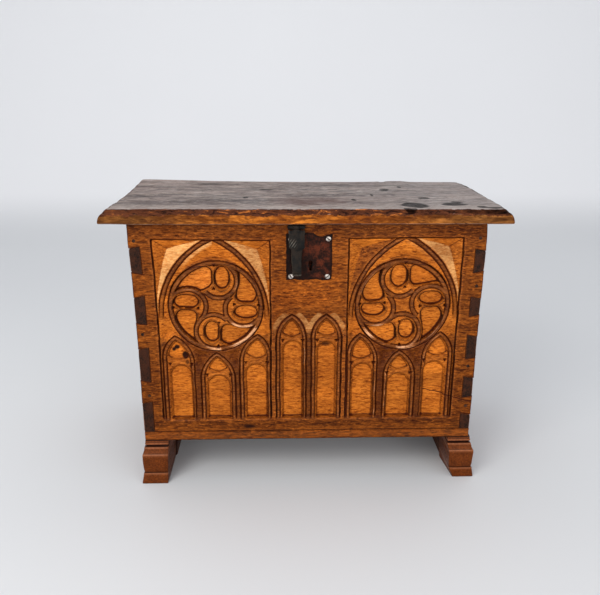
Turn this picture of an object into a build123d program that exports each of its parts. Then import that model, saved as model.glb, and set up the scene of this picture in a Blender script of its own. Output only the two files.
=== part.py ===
from build123d import *
import os
from math import sin, cos, pi, radians, atan2

# Small oak coffer with a carved tracery front: dovetailed boards, plank lid, two runner feet,
# iron lock with a sliding bolt and a swinging hasp.
# Millimetres, +Z up, the front faces -Y. Shapes are written in the body frame: x = 0 and y = 0
# at the middle of the carcase, z = 0 on the floor. On export they move by TO_FOOTPRINT, which
# puts the origin at the middle of the whole footprint.
TO_FOOTPRINT = Pos(3.0, 8.6, 0)

# ---- carcase and lid dimensions ------------------------------------------------------------
BODY_W = 470.0
BODY_D = 272.0
Z_FOOT = 67.3                  # underside of the bottom board
Z_BASE = 81.0                  # top of the bottom board
Z_RIM = 384.5                  # top edge of the carcase
FACE_T = 18.0                  # front and back boards
SIDE_T = 14.5                  # side boards
LID_L, LID_R = -276.4, 270.4   # lid ends
LID_F, LID_B = -147.0, 136.0   # lid front and back edges
LID_T = 19.0
HALF_W = BODY_W / 2
Y_FRONT, Y_BACK = -BODY_D / 2, BODY_D / 2

# through-dovetail pins: low and high z at half the side board's thickness
PINS_L = [(316.9, 351.7), (245.5, 283.6), (160.1, 209.0), (81.0, 126.9)]
PINS_R = [(316.9, 347.1), (254.4, 280.0), (191.0, 224.5), (131.7, 161.6), (81.0, 103.8)]
PIN_FLARE = 1.3                # half the taper over the side board's thickness

# feet: (z, outward offset of the front, back and outer faces)
FOOT_PROFILE = [
    (0.0, 6.4), (3.0, 6.0), (12.0, 2.6), (14.2, 2.2), (14.2, 1.2), (44.6, 4.2), (46.6, 4.2),
    (50.5, 1.6), (55.0, 0.9), (56.4, 0.9), (57.6, -1.3), (60.4, -1.3), (61.4, -0.3), (67.3, 0.0),
]

# ---- nails ---------------------------------------------------------------------------------
NAIL_R = 1.1
CORNER_NAIL_LEN = 40.0
FRONT_NAILS = [                # x, z
    (-231.0, 360.9), (-227.7, 230.2), (-224.4, 138.2),
    (227.1, 363.7), (227.4, 297.1), (225.0, 179.3), (226.7, 117.6),
]
BACK_NAILS = [                 # x, z
    (-228.0, 364.0), (-228.0, 230.0), (-228.0, 138.0),
    (228.0, 364.0), (228.0, 238.0), (228.0, 117.6),
]
# up through the bottom board, into the side boards and into the front and back boards: x, y
BOTTOM_SIDE_NAILS = [(x, y) for x in (-228.0, 228.0) for y in (-70.0, 0.0, 70.0)]
BOTTOM_FACE_NAILS = [(x, y) for x in (-110.0, 110.0) for y in (-127.0, 127.0)]
BOTTOM_NAILS = BOTTOM_SIDE_NAILS + BOTTOM_FACE_NAILS
BOTTOM_NAIL_LEN = 42.0
FLOOR_HEAD_R = 2.4             # heads of the bottom and foot nails
# down through the bottom board into the feet: x, y
FOOT_NAILS = [(x, y) for x in (-214.0, 214.0) for y in (-95.0, 0.0, 95.0)]
FOOT_NAIL_LEN = 45.0
LEAF_NAIL_R = 1.3              # nails that hold the iron leaves
LEAF_NAIL_DEPTH = 14.0

# ---- lid hinges ----------------------------------------------------------------------------
RUN = 0.05                     # radial clearance of running pins
LEAF_T = 2.0
HINGES = {"left": -150.0, "right": 150.0}
HINGE_Y, HINGE_Z = 140.5, Z_RIM                # pivot line
HINGE_R, HINGE_PIN_R = 4.0, 2.0
LEAF_HALF = 18.0               # half width of the leaves
KNUCKLE_HALF = 6.2             # half width of the middle knuckle
LID_LEAF_Y = 84.0              # front end of the lid leaf
# nails of one hinge: (x offset, y) in the lid and (x offset, z) in the back board
LID_LEAF_NAILS = [(-11, 96.0), (11, 96.0), (0, 118.0)]
BODY_LEAF_NAILS = [(-11, 370.0), (11, 370.0), (0, 344.0)]

# ---- lock ----------------------------------------------------------------------------------
PLATE_T = 1.5
BOLT_Z, BOLT_H, BOLT_T = 341.0, 9.0, 3.0
BOLT_LOW, BOLT_HIGH = BOLT_Z - BOLT_H / 2, BOLT_Z + BOLT_H / 2
BOLT_Y0 = Y_FRONT + 0.4
BOLT_Y1 = BOLT_Y0 + BOLT_T
KEY_X, KEY_Z = 1.2, 331.0
MORTISE_X, MORTISE_Z = (-27.5, 27.5), (316.5, 353.5)
MORTISE_DEPTH = 13.5
PLATE_OUTLINE = [              # x, z
    (-31.0, 369.6), (-20.0, 370.2), (-6.0, 369.0), (6.0, 366.6), (15.0, 365.4), (24.0, 367.6),
    (30.0, 369.0), (29.4, 350.0), (30.0, 330.0), (29.6, 308.0), (20.0, 306.4), (8.0, 308.4),
    (-8.0, 306.6), (-20.0, 308.2), (-30.4, 306.8), (-30.8, 330.0), (-30.2, 350.0),
]
SCREWS = [(24.6, 363.3), (24.0, 312.0), (-25.2, 312.3), (-25.0, 363.0)]     # x, z
SCREW_R, SCREW_HEAD_R, SCREW_LEN = 1.8, 3.45, 12.0
SCREW_HEAD_T = 1.3

CASE_GAP = 0.6                 # between the case and the mortise walls
CASE_WALL = 1.2
CASE_X0, CASE_X1 = MORTISE_X[0] + CASE_GAP, MORTISE_X[1] - CASE_GAP
CASE_Z0, CASE_Z1 = MORTISE_Z[0] + CASE_GAP, MORTISE_Z[1] - CASE_GAP
CASE_BACK = Y_FRONT + MORTISE_DEPTH - 0.7
CASE_FLOOR = CASE_BACK - CASE_WALL             # inner face of the case's back wall
RIVET_R = 1.0
RIVET_INSET = 3.4
RIVETS = [(CASE_X0 + RIVET_INSET, CASE_Z1 - RIVET_INSET),
          (CASE_X1 - RIVET_INSET, CASE_Z0 + RIVET_INSET)]                   # x, z
RIVET_BLOCK_HALF = 2.3
RIVET_BLOCK_T = 4.0

# ---- hasp ----------------------------------------------------------------------------------
HASP_Y, HASP_Z = -141.5, 380.0                 # pivot line
HASP_X0, HASP_X1 = -29.0, -7.0                 # hinge width
HASP_MID_X = (HASP_X0 + HASP_X1) / 2
HASP_R, HASP_PIN_R = 3.5, 1.5
HASP_SIDE_GAP = 0.1                            # leaf to the recess in the lid
HASP_KNUCKLE_W = 6.3                           # width of each outer knuckle
HASP_LEAF_BACK = -92.0
HASP_NAIL_YS = (-104.0, -118.0)
REST_ANGLE = 12.0              # the hasp hangs this far out of its pressed-home position
STRAP_T = 3.0
STRAP_BACK = HASP_Y + 2.5
STRAP_FRONT = STRAP_BACK - STRAP_T
STRAP_PLATE = [(-28.2, 375.6), (-6.4, 375.6), (-6.2, 352.0), (-28.0, 352.0)]      # x, z
TONGUE_X0, TONGUE_X1 = -24.6, -9.0
TONGUE_TAPER = [(-24.8, 355.0), (-8.8, 355.0), (-11.2, 311.0), (-22.2, 311.0)]    # x, z
TONGUE_PROFILE = [             # y from the strap's back face, z
    (0.0, 353.0), (0.0, 322.0), (-1.2, 317.0), (-4.4, 313.2), (-7.6, 312.2), (-8.4, 314.8),
    (-5.6, 316.4), (-4.3, 319.5), (-4.0, 324.0), (-4.0, 350.0), (-STRAP_T, 353.0),
]
STAPLE_X0, STAPLE_X1 = -20.0, -16.0
STAPLE_NOSE = Y_FRONT + 6.0                    # pressed home
STAPLE_BAR = 2.2               # iron above and below the opening
OPENING_Y = (Y_FRONT - 0.5, Y_FRONT + 3.8)     # clear opening for the bolt
OPENING_Z = (BOLT_Z - 5.5, BOLT_Z + 5.5)

# ---- carving -------------------------------------------------------------------------------
Z_SILL = 100.0                 # sill of the arcade
# lancets: centre x, outer half width, apex z, lower panel x0, x1, top z, eye z0, z1, half width
LANCETS = [
    (-181.5, 22.0, 227.7, -191.8, -165.0, 181.0, 192.0, 218.0, 10.5),
    (-127.0, 24.5, 203.3, -141.3, -111.3, 165.0, 174.0, 197.0, 11.0),
    (-74.0, 22.0, 229.4, -87.0, -59.7, 182.0, 193.5, 219.0, 10.5),
    (-24.0, 21.5, 258.3, -35.2, -9.9, 216.0, 225.0, 251.6, 11.0),
    (24.5, 21.5, 258.3, 12.9, 37.0, 215.0, 226.0, 251.0, 11.0),
    (74.5, 21.5, 230.0, 62.0, 89.2, 181.0, 190.0, 220.0, 10.0),
    (127.5, 23.0, 204.5, 112.5, 142.5, 166.0, 175.0, 199.0, 11.0),
    (180.5, 21.8, 231.0, 164.0, 191.0, 183.0, 195.0, 221.0, 10.5),
]
# roundels: turn of the swirl (1 or -1), centre x, centre z, radius
ROUNDELS = [(1, -126.5, 269.0, 64.7), (-1, 128.0, 270.0, 65.5)]
# upper spandrels of the two big arches: x, z
SPANDRELS = [
    [(-206, 362), (-146, 362), (-163, 346), (-176, 333), (-190, 314), (-206, 280)],
    [(-52.5, 361), (-52.5, 289), (-60, 303), (-79, 328), (-102, 351), (-112, 361)],
    [(205, 363), (205, 281), (190, 315), (176, 334), (163, 347), (146, 363)],
    [(52.5, 362), (112, 362), (102, 352), (79, 329), (60, 304), (52.5, 290)],
]


# ---- basic solids --------------------------------------------------------------------------
def block(x0, x1, y0, y1, z0, z1):
    middle = Pos((x0 + x1) / 2, (y0 + y1) / 2, (z0 + z1) / 2)
    return middle * Box(abs(x1 - x0), abs(y1 - y0), abs(z1 - z0))


def rod_x(x0, x1, y, z, r):
    return Pos((x0 + x1) / 2, y, z) * Rot(0, 90, 0) * Cylinder(r, abs(x1 - x0))


def rod_y(x, y0, y1, z, r):
    return Pos(x, (y0 + y1) / 2, z) * Rot(90, 0, 0) * Cylinder(r, abs(y1 - y0))


def rod_z(x, y, z0, z1, r):
    return Pos(x, y, (z0 + z1) / 2) * Cylinder(r, abs(z1 - z0))


def prism_y(points, y0, y1):
    """Polygon in x, z carried from y0 to y1."""
    face = make_face(Polyline(*[(x, y0, z) for x, z in points], close=True))
    return extrude(face, amount=abs(y1 - y0), dir=(0, 1 if y1 > y0 else -1, 0))


def prism_x(points, x0, x1):
    """Polygon in y, z carried from x0 to x1."""
    face = make_face(Polyline(*[(x0, y, z) for y, z in points], close=True))
    return extrude(face, amount=abs(x1 - x0), dir=(1 if x1 > x0 else -1, 0, 0))


def cut_each(shape, tools):
    """Cut the tools one after another."""
    for tool in tools:
        shape -= tool
    return shape


# ---- nails and their holes -----------------------------------------------------------------
def on_side(side, spots):
    return [spot for spot in spots if spot[0] * side > 0]


def corner_nails(spots, y_face, outward):
    """Nails through a face board into the side boards; outward is -1 at the front, 1 behind."""
    return [rod_y(x, y_face, y_face - outward * CORNER_NAIL_LEN, z, NAIL_R)
            + rod_y(x, y_face, y_face + outward * 0.8, z, 2.2) for x, z in spots]


def corner_holes(spots, y_face, outward):
    return [rod_y(x, y_face + outward, y_face - outward * CORNER_NAIL_LEN, z, NAIL_R)
            for x, z in spots]


def bottom_nails(spots, below=0.0):
    """Nails with sunk heads; below lengthens them downwards to serve as cutting tools."""
    return [rod_z(x, y, Z_FOOT - below, Z_FOOT + BOTTOM_NAIL_LEN, NAIL_R)
            + rod_z(x, y, Z_FOOT - below, Z_FOOT + 1.0, FLOOR_HEAD_R) for x, y in spots]


def bottom_holes(spots):
    return bottom_nails(spots, below=1.0)


def foot_nails():
    return [rod_z(x, y, Z_BASE - FOOT_NAIL_LEN, Z_BASE, NAIL_R)
            + rod_z(x, y, Z_BASE, Z_BASE + 0.8, FLOOR_HEAD_R) for x, y in FOOT_NAILS]


def foot_holes(spots):
    return [rod_z(x, y, Z_BASE - FOOT_NAIL_LEN, Z_BASE + 1, NAIL_R) for x, y in spots]


def lid_nails(spots):
    """Nails up into the lid; the same solids cut their holes."""
    return [rod_z(x, y, Z_RIM, Z_RIM + LEAF_NAIL_DEPTH, LEAF_NAIL_R) for x, y in spots]


def lid_leaf_holes(spots):
    return [rod_z(x, y, Z_RIM - 1, Z_RIM + LEAF_T + 1, LEAF_NAIL_R) for x, y in spots]


def hinge_spots(hinge_x, offsets):
    return [(hinge_x + dx, across) for dx, across in offsets]


def hinge_body_nails():
    y_leaf = Y_BACK + LEAF_T
    return [rod_y(x, Y_BACK - LEAF_NAIL_DEPTH, y_leaf, z, LEAF_NAIL_R)
            + rod_y(x, y_leaf, y_leaf + 1.2, z, 2.6)
            for hinge_x in HINGES.values() for x, z in hinge_spots(hinge_x, BODY_LEAF_NAILS)]


# ---- carving, cut in from the front face ---------------------------------------------------
def pocket(points, depth):
    return prism_y(points, Y_FRONT - 1, Y_FRONT + depth)


def pointed_arch(mid, half, z_base, z_spring, z_apex, steps=7):
    """Pointed arch outline, counter-clockwise from the lower left."""
    rise = z_apex - z_spring
    radius = (half * half + rise * rise) / (2 * half)
    centre = mid + half - radius
    sweep_angle = atan2(rise, mid - centre)
    right = [(centre + radius * cos(sweep_angle * i / steps),
              z_spring + radius * sin(sweep_angle * i / steps)) for i in range(steps + 1)]
    left = [(2 * mid - x, z) for x, z in right[-2::-1]]
    return [(mid - half, z_base), (mid + half, z_base)] + right + left


def round_arch(mid, half, z_base, z_top, steps=12):
    arc = [(mid + half * cos(pi * i / steps), z_top - half + half * sin(pi * i / steps))
           for i in range(steps + 1)]
    return [(mid - half, z_base), (mid + half, z_base)] + arc


def eye_outline(mid, half, z0, z1, steps=16):
    """Oval, pinched near its upper end."""
    points = []
    for i in range(steps):
        angle = 2 * pi * i / steps
        pinch = 0.75 if cos(angle) > 0.8 else 1.0
        points.append((mid + half * sin(angle) * pinch,
                       (z0 + z1) / 2 + (z1 - z0) / 2 * cos(angle)))
    return points[::-1]


def oval_lobe(cx, cz, angle):
    """Oval with its long axis on the radius of the roundel at this angle."""
    points = []
    for i in range(16):
        along = 40 + 12 * sin(pi * i / 8)
        across = 8.5 * cos(pi * i / 8)
        points.append((cx + along * cos(angle) + across * sin(angle),
                       cz + along * sin(angle) - across * cos(angle)))
    return points


def tapered_lobe(cx, cz, start, end, radius=46.5, half=8.5, end_scale=0.25, steps=12):
    """Band along an arc of the roundel, narrowing from start to end (degrees)."""
    outer, inner = [], []
    for i in range(steps + 1):
        t = i / steps
        angle = radians(start + (end - start) * t)
        width = half * (1 + (end_scale - 1) * t)
        for edge, r in ((outer, radius + width), (inner, radius - width)):
            edge.append((cx + r * cos(angle), cz + r * sin(angle)))
    return outer + inner[::-1]


def ring_groove(cx, cz, outer, inner, depth):
    return (rod_y(cx, Y_FRONT - 1, Y_FRONT + depth, cz, outer)
            - rod_y(cx, Y_FRONT - 2, Y_FRONT + 3.0, cz, inner))


def carve_lancets(board):
    for mid, half, z_apex, x0, x1, z_top, eye_z0, eye_z1, eye_half in LANCETS:
        panel_mid = (x0 + x1) / 2
        board -= pocket(round_arch(panel_mid, (x1 - x0) / 2, Z_SILL, z_top), 5.0)
        board -= pocket(eye_outline(panel_mid, eye_half, eye_z0, eye_z1), 4.0)
        z_low = z_apex - 1.6 * half
        outer = pointed_arch(mid, half, z_low, z_low + 1, z_apex)
        inner = pointed_arch(mid, half - 2.0, z_low - 1, z_low + 1, z_apex - 3.2)
        board -= pocket(outer, 1.5) - pocket(inner, 3.0)
    return board


def carve_roundels(board):
    for turn, cx, cz, radius in ROUNDELS:
        board -= ring_groove(cx, cz, radius, radius - 2.2, 2.0)
        board -= ring_groove(cx, cz, radius - 6.0, radius - 7.6, 1.5)
        # four swirling mouchettes: an oval lobe and a long one that tapers round the ring
        for up in (90.0, 180.0, 270.0, 360.0):
            board -= pocket(oval_lobe(cx, cz, radians(up - 15 * turn)), 5.0)
            board -= pocket(tapered_lobe(cx, cz, up + 13 * turn, up + 65 * turn), 5.0)
        # shallow square at the centre
        corners = [pi / 4 + pi / 2 * k for k in range(4)]
        board -= pocket([(cx + 9 * cos(a), cz + 9 * sin(a)) for a in corners], 2.0)
    return board


# ---- carcase -------------------------------------------------------------------------------
def pin_outline(side, z0, z1):
    """Pin end on the face: taller at the inner edge; a pin at the bottom is square below."""
    x_out, x_in = side * HALF_W, side * (HALF_W - SIDE_T)
    low_flare = PIN_FLARE if z0 > Z_BASE + 0.5 else 0.0
    return [(x_out, z0 + low_flare), (x_in, z0 - low_flare),
            (x_in, z1 + PIN_FLARE), (x_out, z1 - PIN_FLARE)]


def face_board(y0, y1):
    board = block(-HALF_W, HALF_W, y0, y1, Z_BASE, Z_RIM)
    for side, pins in ((-1, PINS_L), (1, PINS_R)):
        for z0, z1 in pins:
            board -= prism_y(pin_outline(side, z0, z1), y0 - 1, y1 + 1)
    return board


def front_board():
    board = face_board(Y_FRONT, Y_FRONT + FACE_T)
    board = carve_lancets(board)
    board = carve_roundels(board)
    board = cut_each(board, [pocket(points, 4.0) for points in SPANDRELS])
    # lock mortise
    board -= block(*MORTISE_X, Y_FRONT - 1, Y_FRONT + MORTISE_DEPTH, *MORTISE_Z)
    board = cut_each(board, [rod_y(x, Y_FRONT - 1, Y_FRONT + SCREW_LEN, z, SCREW_R)
                             for x, z in SCREWS])
    board = cut_each(board, corner_holes(FRONT_NAILS, Y_FRONT, -1))
    return cut_each(board, bottom_holes([(x, y) for x, y in BOTTOM_FACE_NAILS if y < 0]))


def back_board():
    board = face_board(Y_BACK - FACE_T, Y_BACK)
    board = cut_each(board, corner_holes(BACK_NAILS, Y_BACK, 1))
    board = cut_each(board, bottom_holes([(x, y) for x, y in BOTTOM_FACE_NAILS if y > 0]))
    for hinge_x in HINGES.values():
        for x, z in hinge_spots(hinge_x, BODY_LEAF_NAILS):
            board -= rod_y(x, Y_BACK - LEAF_NAIL_DEPTH, Y_BACK + 1, z, LEAF_NAIL_R)
    return board


def side_board(side, pins):
    board = block(side * HALF_W, side * (HALF_W - SIDE_T),
                  Y_FRONT + FACE_T, Y_BACK - FACE_T, Z_BASE, Z_RIM)
    for z0, z1 in pins:
        outline = pin_outline(side, z0, z1)
        board += prism_y(outline, Y_FRONT, Y_FRONT + FACE_T + 0.5)
        board += prism_y(outline, Y_BACK - FACE_T - 0.5, Y_BACK)
    board = cut_each(board, corner_holes(on_side(side, FRONT_NAILS), Y_FRONT, -1))
    board = cut_each(board, corner_holes(on_side(side, BACK_NAILS), Y_BACK, 1))
    return cut_each(board, bottom_holes(on_side(side, BOTTOM_SIDE_NAILS)))


def bottom_board():
    board = block(-HALF_W, HALF_W, Y_FRONT, Y_BACK, Z_FOOT, Z_BASE)
    return cut_each(board, bottom_holes(BOTTOM_NAILS) + foot_holes(FOOT_NAILS))


def foot(side, inner_top, inner_low):
    """Moulded runner foot; its inner face slopes from |x| = inner_low on the floor."""
    def level(z, offset_out):
        x_in = inner_low + (inner_top - inner_low) * z / Z_FOOT
        x0, x1 = sorted((side * x_in, side * (HALF_W + offset_out)))
        y0, y1 = Y_FRONT - offset_out, Y_BACK + offset_out
        return make_face(Polyline((x0, y0, z), (x1, y0, z), (x1, y1, z), (x0, y1, z), close=True))

    body = None
    for low, high in zip(FOOT_PROFILE[:-1], FOOT_PROFILE[1:]):
        if high[0] == low[0]:  # a level step has no height to loft
            continue
        layer = loft([level(*low), level(*high)], ruled=True)
        body = layer if body is None else body + layer
    return cut_each(body, foot_holes(on_side(side, FOOT_NAILS)))


def lid_board():
    lid = block(LID_L, LID_R, LID_F, LID_B, Z_RIM, Z_RIM + LID_T)
    lid = fillet(lid.edges().filter_by(Axis.Z).group_by(Axis.Y)[0], 6.0)
    # top edges bevelled, except along the back
    top = lid.faces().sort_by(Axis.Z)[-1]
    lid = chamfer([e for e in top.edges() if e.center().Y < LID_B - 1], 5.5)
    # recesses for the iron leaves, with their nail holes
    for x in HINGES.values():
        lid -= block(x - LEAF_HALF, x + LEAF_HALF, LID_LEAF_Y, LID_B + 1,
                     Z_RIM - 1, Z_RIM + LEAF_T)
        lid = cut_each(lid, lid_nails(hinge_spots(x, LID_LEAF_NAILS)))
    lid -= block(HASP_X0, HASP_X1, HASP_Y - 2.0, HASP_LEAF_BACK, Z_RIM - 1, Z_RIM + LEAF_T)
    return cut_each(lid, lid_nails(HASP_NAILS))


# ---- lid hinges ----------------------------------------------------------------------------
def hinge_lid_leaf(x):
    """Leaf let into the underside of the lid, with the middle knuckle."""
    x0, x1 = x - KNUCKLE_HALF, x + KNUCKLE_HALF
    z_top = Z_RIM + LEAF_T
    leaf = block(x - LEAF_HALF, x + LEAF_HALF, LID_LEAF_Y, LID_B - 0.2, Z_RIM, z_top)
    leaf += block(x0, x1, LID_B - 1.0, HINGE_Y, Z_RIM, z_top)
    leaf += rod_x(x0, x1, HINGE_Y, HINGE_Z, HINGE_R)
    leaf -= rod_x(x0 - 1, x1 + 1, HINGE_Y, HINGE_Z, HINGE_PIN_R + RUN)
    return cut_each(leaf, lid_leaf_holes(hinge_spots(x, LID_LEAF_NAILS)))


def hinge_body_leaf(x):
    """Leaf on the outside of the back board, with the two outer knuckles."""
    y_leaf = Y_BACK + LEAF_T
    inner = KNUCKLE_HALF + 0.4
    leaf = block(x - LEAF_HALF, x + LEAF_HALF, Y_BACK, y_leaf, 330.0, HINGE_Z - 4.2)
    for x0, x1 in ((x - LEAF_HALF, x - inner), (x + inner, x + LEAF_HALF)):
        leaf += block(x0, x1, Y_BACK, y_leaf, HINGE_Z - 5.0, HINGE_Z - 0.4)
        leaf += rod_x(x0, x1, HINGE_Y, HINGE_Z, HINGE_R)
        leaf -= rod_x(x0 - 1, x1 + 1, HINGE_Y, HINGE_Z, HINGE_PIN_R)
    return cut_each(leaf, [rod_y(nail_x, Y_BACK - 1, y_leaf + 1, z, LEAF_NAIL_R)
                           for nail_x, z in hinge_spots(x, BODY_LEAF_NAILS)])


def hinge_pin(x):
    return rod_x(x - LEAF_HALF - 1.0, x + LEAF_HALF + 1.0, HINGE_Y, HINGE_Z, HINGE_PIN_R)


# ---- hasp ----------------------------------------------------------------------------------
HASP_NAILS = [(HASP_MID_X, y) for y in HASP_NAIL_YS]


def hasp_leaf():
    """Leaf let into the lid's underside; two outer knuckles hang below the front overhang."""
    x0, x1 = HASP_X0 + HASP_SIDE_GAP, HASP_X1 - HASP_SIDE_GAP
    leaf = block(x0, x1, HASP_Y - 1.5, HASP_LEAF_BACK - 0.2, Z_RIM, Z_RIM + LEAF_T)
    for a, b in ((x0, HASP_X0 + HASP_KNUCKLE_W), (HASP_X1 - HASP_KNUCKLE_W, x1)):
        leaf += block(a, b, HASP_Y - 1.5, HASP_Y + 1.5, HASP_Z, Z_RIM + 0.5)
        leaf += rod_x(a, b, HASP_Y, HASP_Z, HASP_R)
        leaf -= rod_x(a - 1, b + 1, HASP_Y, HASP_Z, HASP_PIN_R)
    return cut_each(leaf, lid_leaf_holes(HASP_NAILS))


def staple_tangs():
    """Tangs riveted through the strap."""
    x = (STAPLE_X0 + STAPLE_X1) / 2
    levels = (OPENING_Z[0] - STAPLE_BAR / 2, OPENING_Z[1] + STAPLE_BAR / 2)
    return [rod_y(x, STRAP_FRONT - 1.6, STRAP_BACK + 0.2, z, 0.9) for z in levels]


def swing_out(shape):
    """From pressed home to the rest position."""
    return shape.rotate(Axis((0, HASP_Y, HASP_Z), (1, 0, 0)), -REST_ANGLE)


def hasp_strap():
    x0, x1 = HASP_X0 + HASP_KNUCKLE_W + 0.3, HASP_X1 - HASP_KNUCKLE_W - 0.3
    strap = rod_x(x0, x1, HASP_Y, HASP_Z, HASP_R)
    strap += block(x0, x1, STRAP_FRONT, STRAP_BACK, HASP_Z - 6.0, HASP_Z)
    strap += prism_y(STRAP_PLATE, STRAP_FRONT, STRAP_BACK)
    # lower tongue, narrower, swelling forward and ending in a turned-out lip
    profile = [(STRAP_BACK + dy, z) for dy, z in TONGUE_PROFILE]
    tongue = prism_x(profile, TONGUE_X0, TONGUE_X1)
    tongue &= prism_y(TONGUE_TAPER, STRAP_BACK - 12, STRAP_BACK + 2)
    strap += tongue
    strap -= rod_x(x0 - 1, x1 + 1, HASP_Y, HASP_Z, HASP_PIN_R + RUN)
    return swing_out(cut_each(strap, staple_tangs()))


def hasp_staple():
    """Staple on the back of the strap; the bolt passes through it sideways."""
    staple = block(STAPLE_X0, STAPLE_X1, STRAP_BACK, STAPLE_NOSE,
                   OPENING_Z[0] - STAPLE_BAR, OPENING_Z[1] + STAPLE_BAR)
    staple -= block(STAPLE_X0 - 1, STAPLE_X1 + 1, *OPENING_Y, *OPENING_Z)
    nose = [e for e in staple.edges().filter_by(Axis.X)
            if abs(e.center().Y - STAPLE_NOSE) < 0.01]
    staple = fillet(nose, 1.6)
    for tang in staple_tangs():
        staple += tang
    return swing_out(staple)


# ---- lock ----------------------------------------------------------------------------------
def lock_plate():
    y0, y1 = Y_FRONT - 3, Y_FRONT + 1          # reach of the cutting tools
    plate = prism_y(PLATE_OUTLINE, Y_FRONT - PLATE_T, Y_FRONT)
    plate = cut_each(plate, [rod_y(x, y0, y1, z, SCREW_R) for x, z in SCREWS])
    # staple slot, reaching lower than the staple because its nose swings on an arc
    plate -= block(-21.2, -14.8, y0, y1, 326.8, 350.2)
    # keyhole
    plate -= rod_y(KEY_X, y0, y1, KEY_Z, 2.8)
    plate -= block(KEY_X - 1.7, KEY_X + 1.7, y0, y1, 320.0, KEY_Z)
    return cut_each(plate, [rod_y(x, y0, y1, z, RIVET_R) for x, z in RIVETS])


def plate_screw(x, z):
    y_seat = Y_FRONT - PLATE_T
    y_top = y_seat - SCREW_HEAD_T
    screw = rod_y(x, y_seat, Y_FRONT + SCREW_LEN, z, SCREW_R)
    head = rod_y(x, y_top, y_seat, z, SCREW_HEAD_R)
    screw += chamfer(head.edges().sort_by(Axis.Y)[0], 0.6)
    # driver slot, turned a little differently on each side
    return screw - Pos(x, y_top, z) * Rot(0, 35 + 20 * x / 25, 0) * Box(8.0, 1.3, 0.9)


def lock_case():
    """Tray open to the front, with rivet blocks in two corners."""
    case = block(CASE_X0, CASE_X1, Y_FRONT, CASE_BACK, CASE_Z0, CASE_Z1) - block(
        CASE_X0 + CASE_WALL, CASE_X1 - CASE_WALL, Y_FRONT - 1, CASE_FLOOR,
        CASE_Z0 + CASE_WALL, CASE_Z1 - CASE_WALL)
    # hole in the back wall on the key's axis
    case -= rod_y(KEY_X, CASE_BACK - 3, CASE_BACK + 1, KEY_Z, 1.6)
    half = RIVET_BLOCK_HALF
    for x, z in RIVETS:
        case += block(x - half, x + half, Y_FRONT, Y_FRONT + RIVET_BLOCK_T, z - half, z + half)
    return cut_each(case, [rod_y(x, Y_FRONT - 1, Y_FRONT + RIVET_BLOCK_T + 0.5, z, RIVET_R)
                           for x, z in RIVETS])


def case_rivet(x, z):
    y_seat = Y_FRONT - PLATE_T
    return (rod_y(x, y_seat, Y_FRONT + RIVET_BLOCK_T, z, RIVET_R)
            + rod_y(x, y_seat - 0.5, y_seat, z, 1.5))


def lock_bolt():
    """Bolt, withdrawn at rest; it is thrown 9 mm towards -X, into the staple."""
    bolt = block(-13.0, 17.5, BOLT_Y0, BOLT_Y1, BOLT_LOW, BOLT_HIGH)
    # notch in the lower edge
    bolt -= block(2.2, 9.4, BOLT_Y0 - 1, BOLT_Y1 + 1, BOLT_LOW - 1, BOLT_Z + 1.2)
    return fillet([e for e in bolt.edges().filter_by(Axis.Y) if e.center().X < -12.5], 1.5)


def bolt_guide(x):
    """Bridge that guides the bolt, standing on the floor of the case."""
    guide = block(x - 1.5, x + 1.5, BOLT_Y0 - 0.3, CASE_FLOOR, BOLT_LOW - 2.3, BOLT_HIGH + 1.7)
    return guide - block(x - 2.5, x + 2.5, BOLT_Y0 - 1.0, BOLT_Y1 + 0.1,
                         BOLT_LOW - 0.1, BOLT_HIGH + 0.1)


def bolt_spring():
    """Flat spring over the bolt's top edge, with a stud that reaches the floor of the case."""
    z = BOLT_HIGH + 0.1
    blade = [(-4.5, z + 4.2), (-3.8, z + 4.8), (4.0, z + 0.7), (9.6, z + 0.7), (9.6, z), (3.8, z)]
    stud = block(-5.2, -3.7, BOLT_Y0, CASE_FLOOR, z + 3.2, z + 4.9)
    return prism_y(blade, BOLT_Y0, BOLT_Y1) + stud


def lock_ward():
    """Broken ring round the key's axis, open below for the bit."""
    ward = (rod_y(KEY_X, Y_FRONT + 6.5, CASE_FLOOR, KEY_Z, 6.2)
            - rod_y(KEY_X, Y_FRONT + 5, CASE_BACK, KEY_Z, 5.2))
    return ward - block(KEY_X - 2.2, KEY_X + 2.2, Y_FRONT + 5, CASE_BACK, KEY_Z - 8, KEY_Z)


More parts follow.
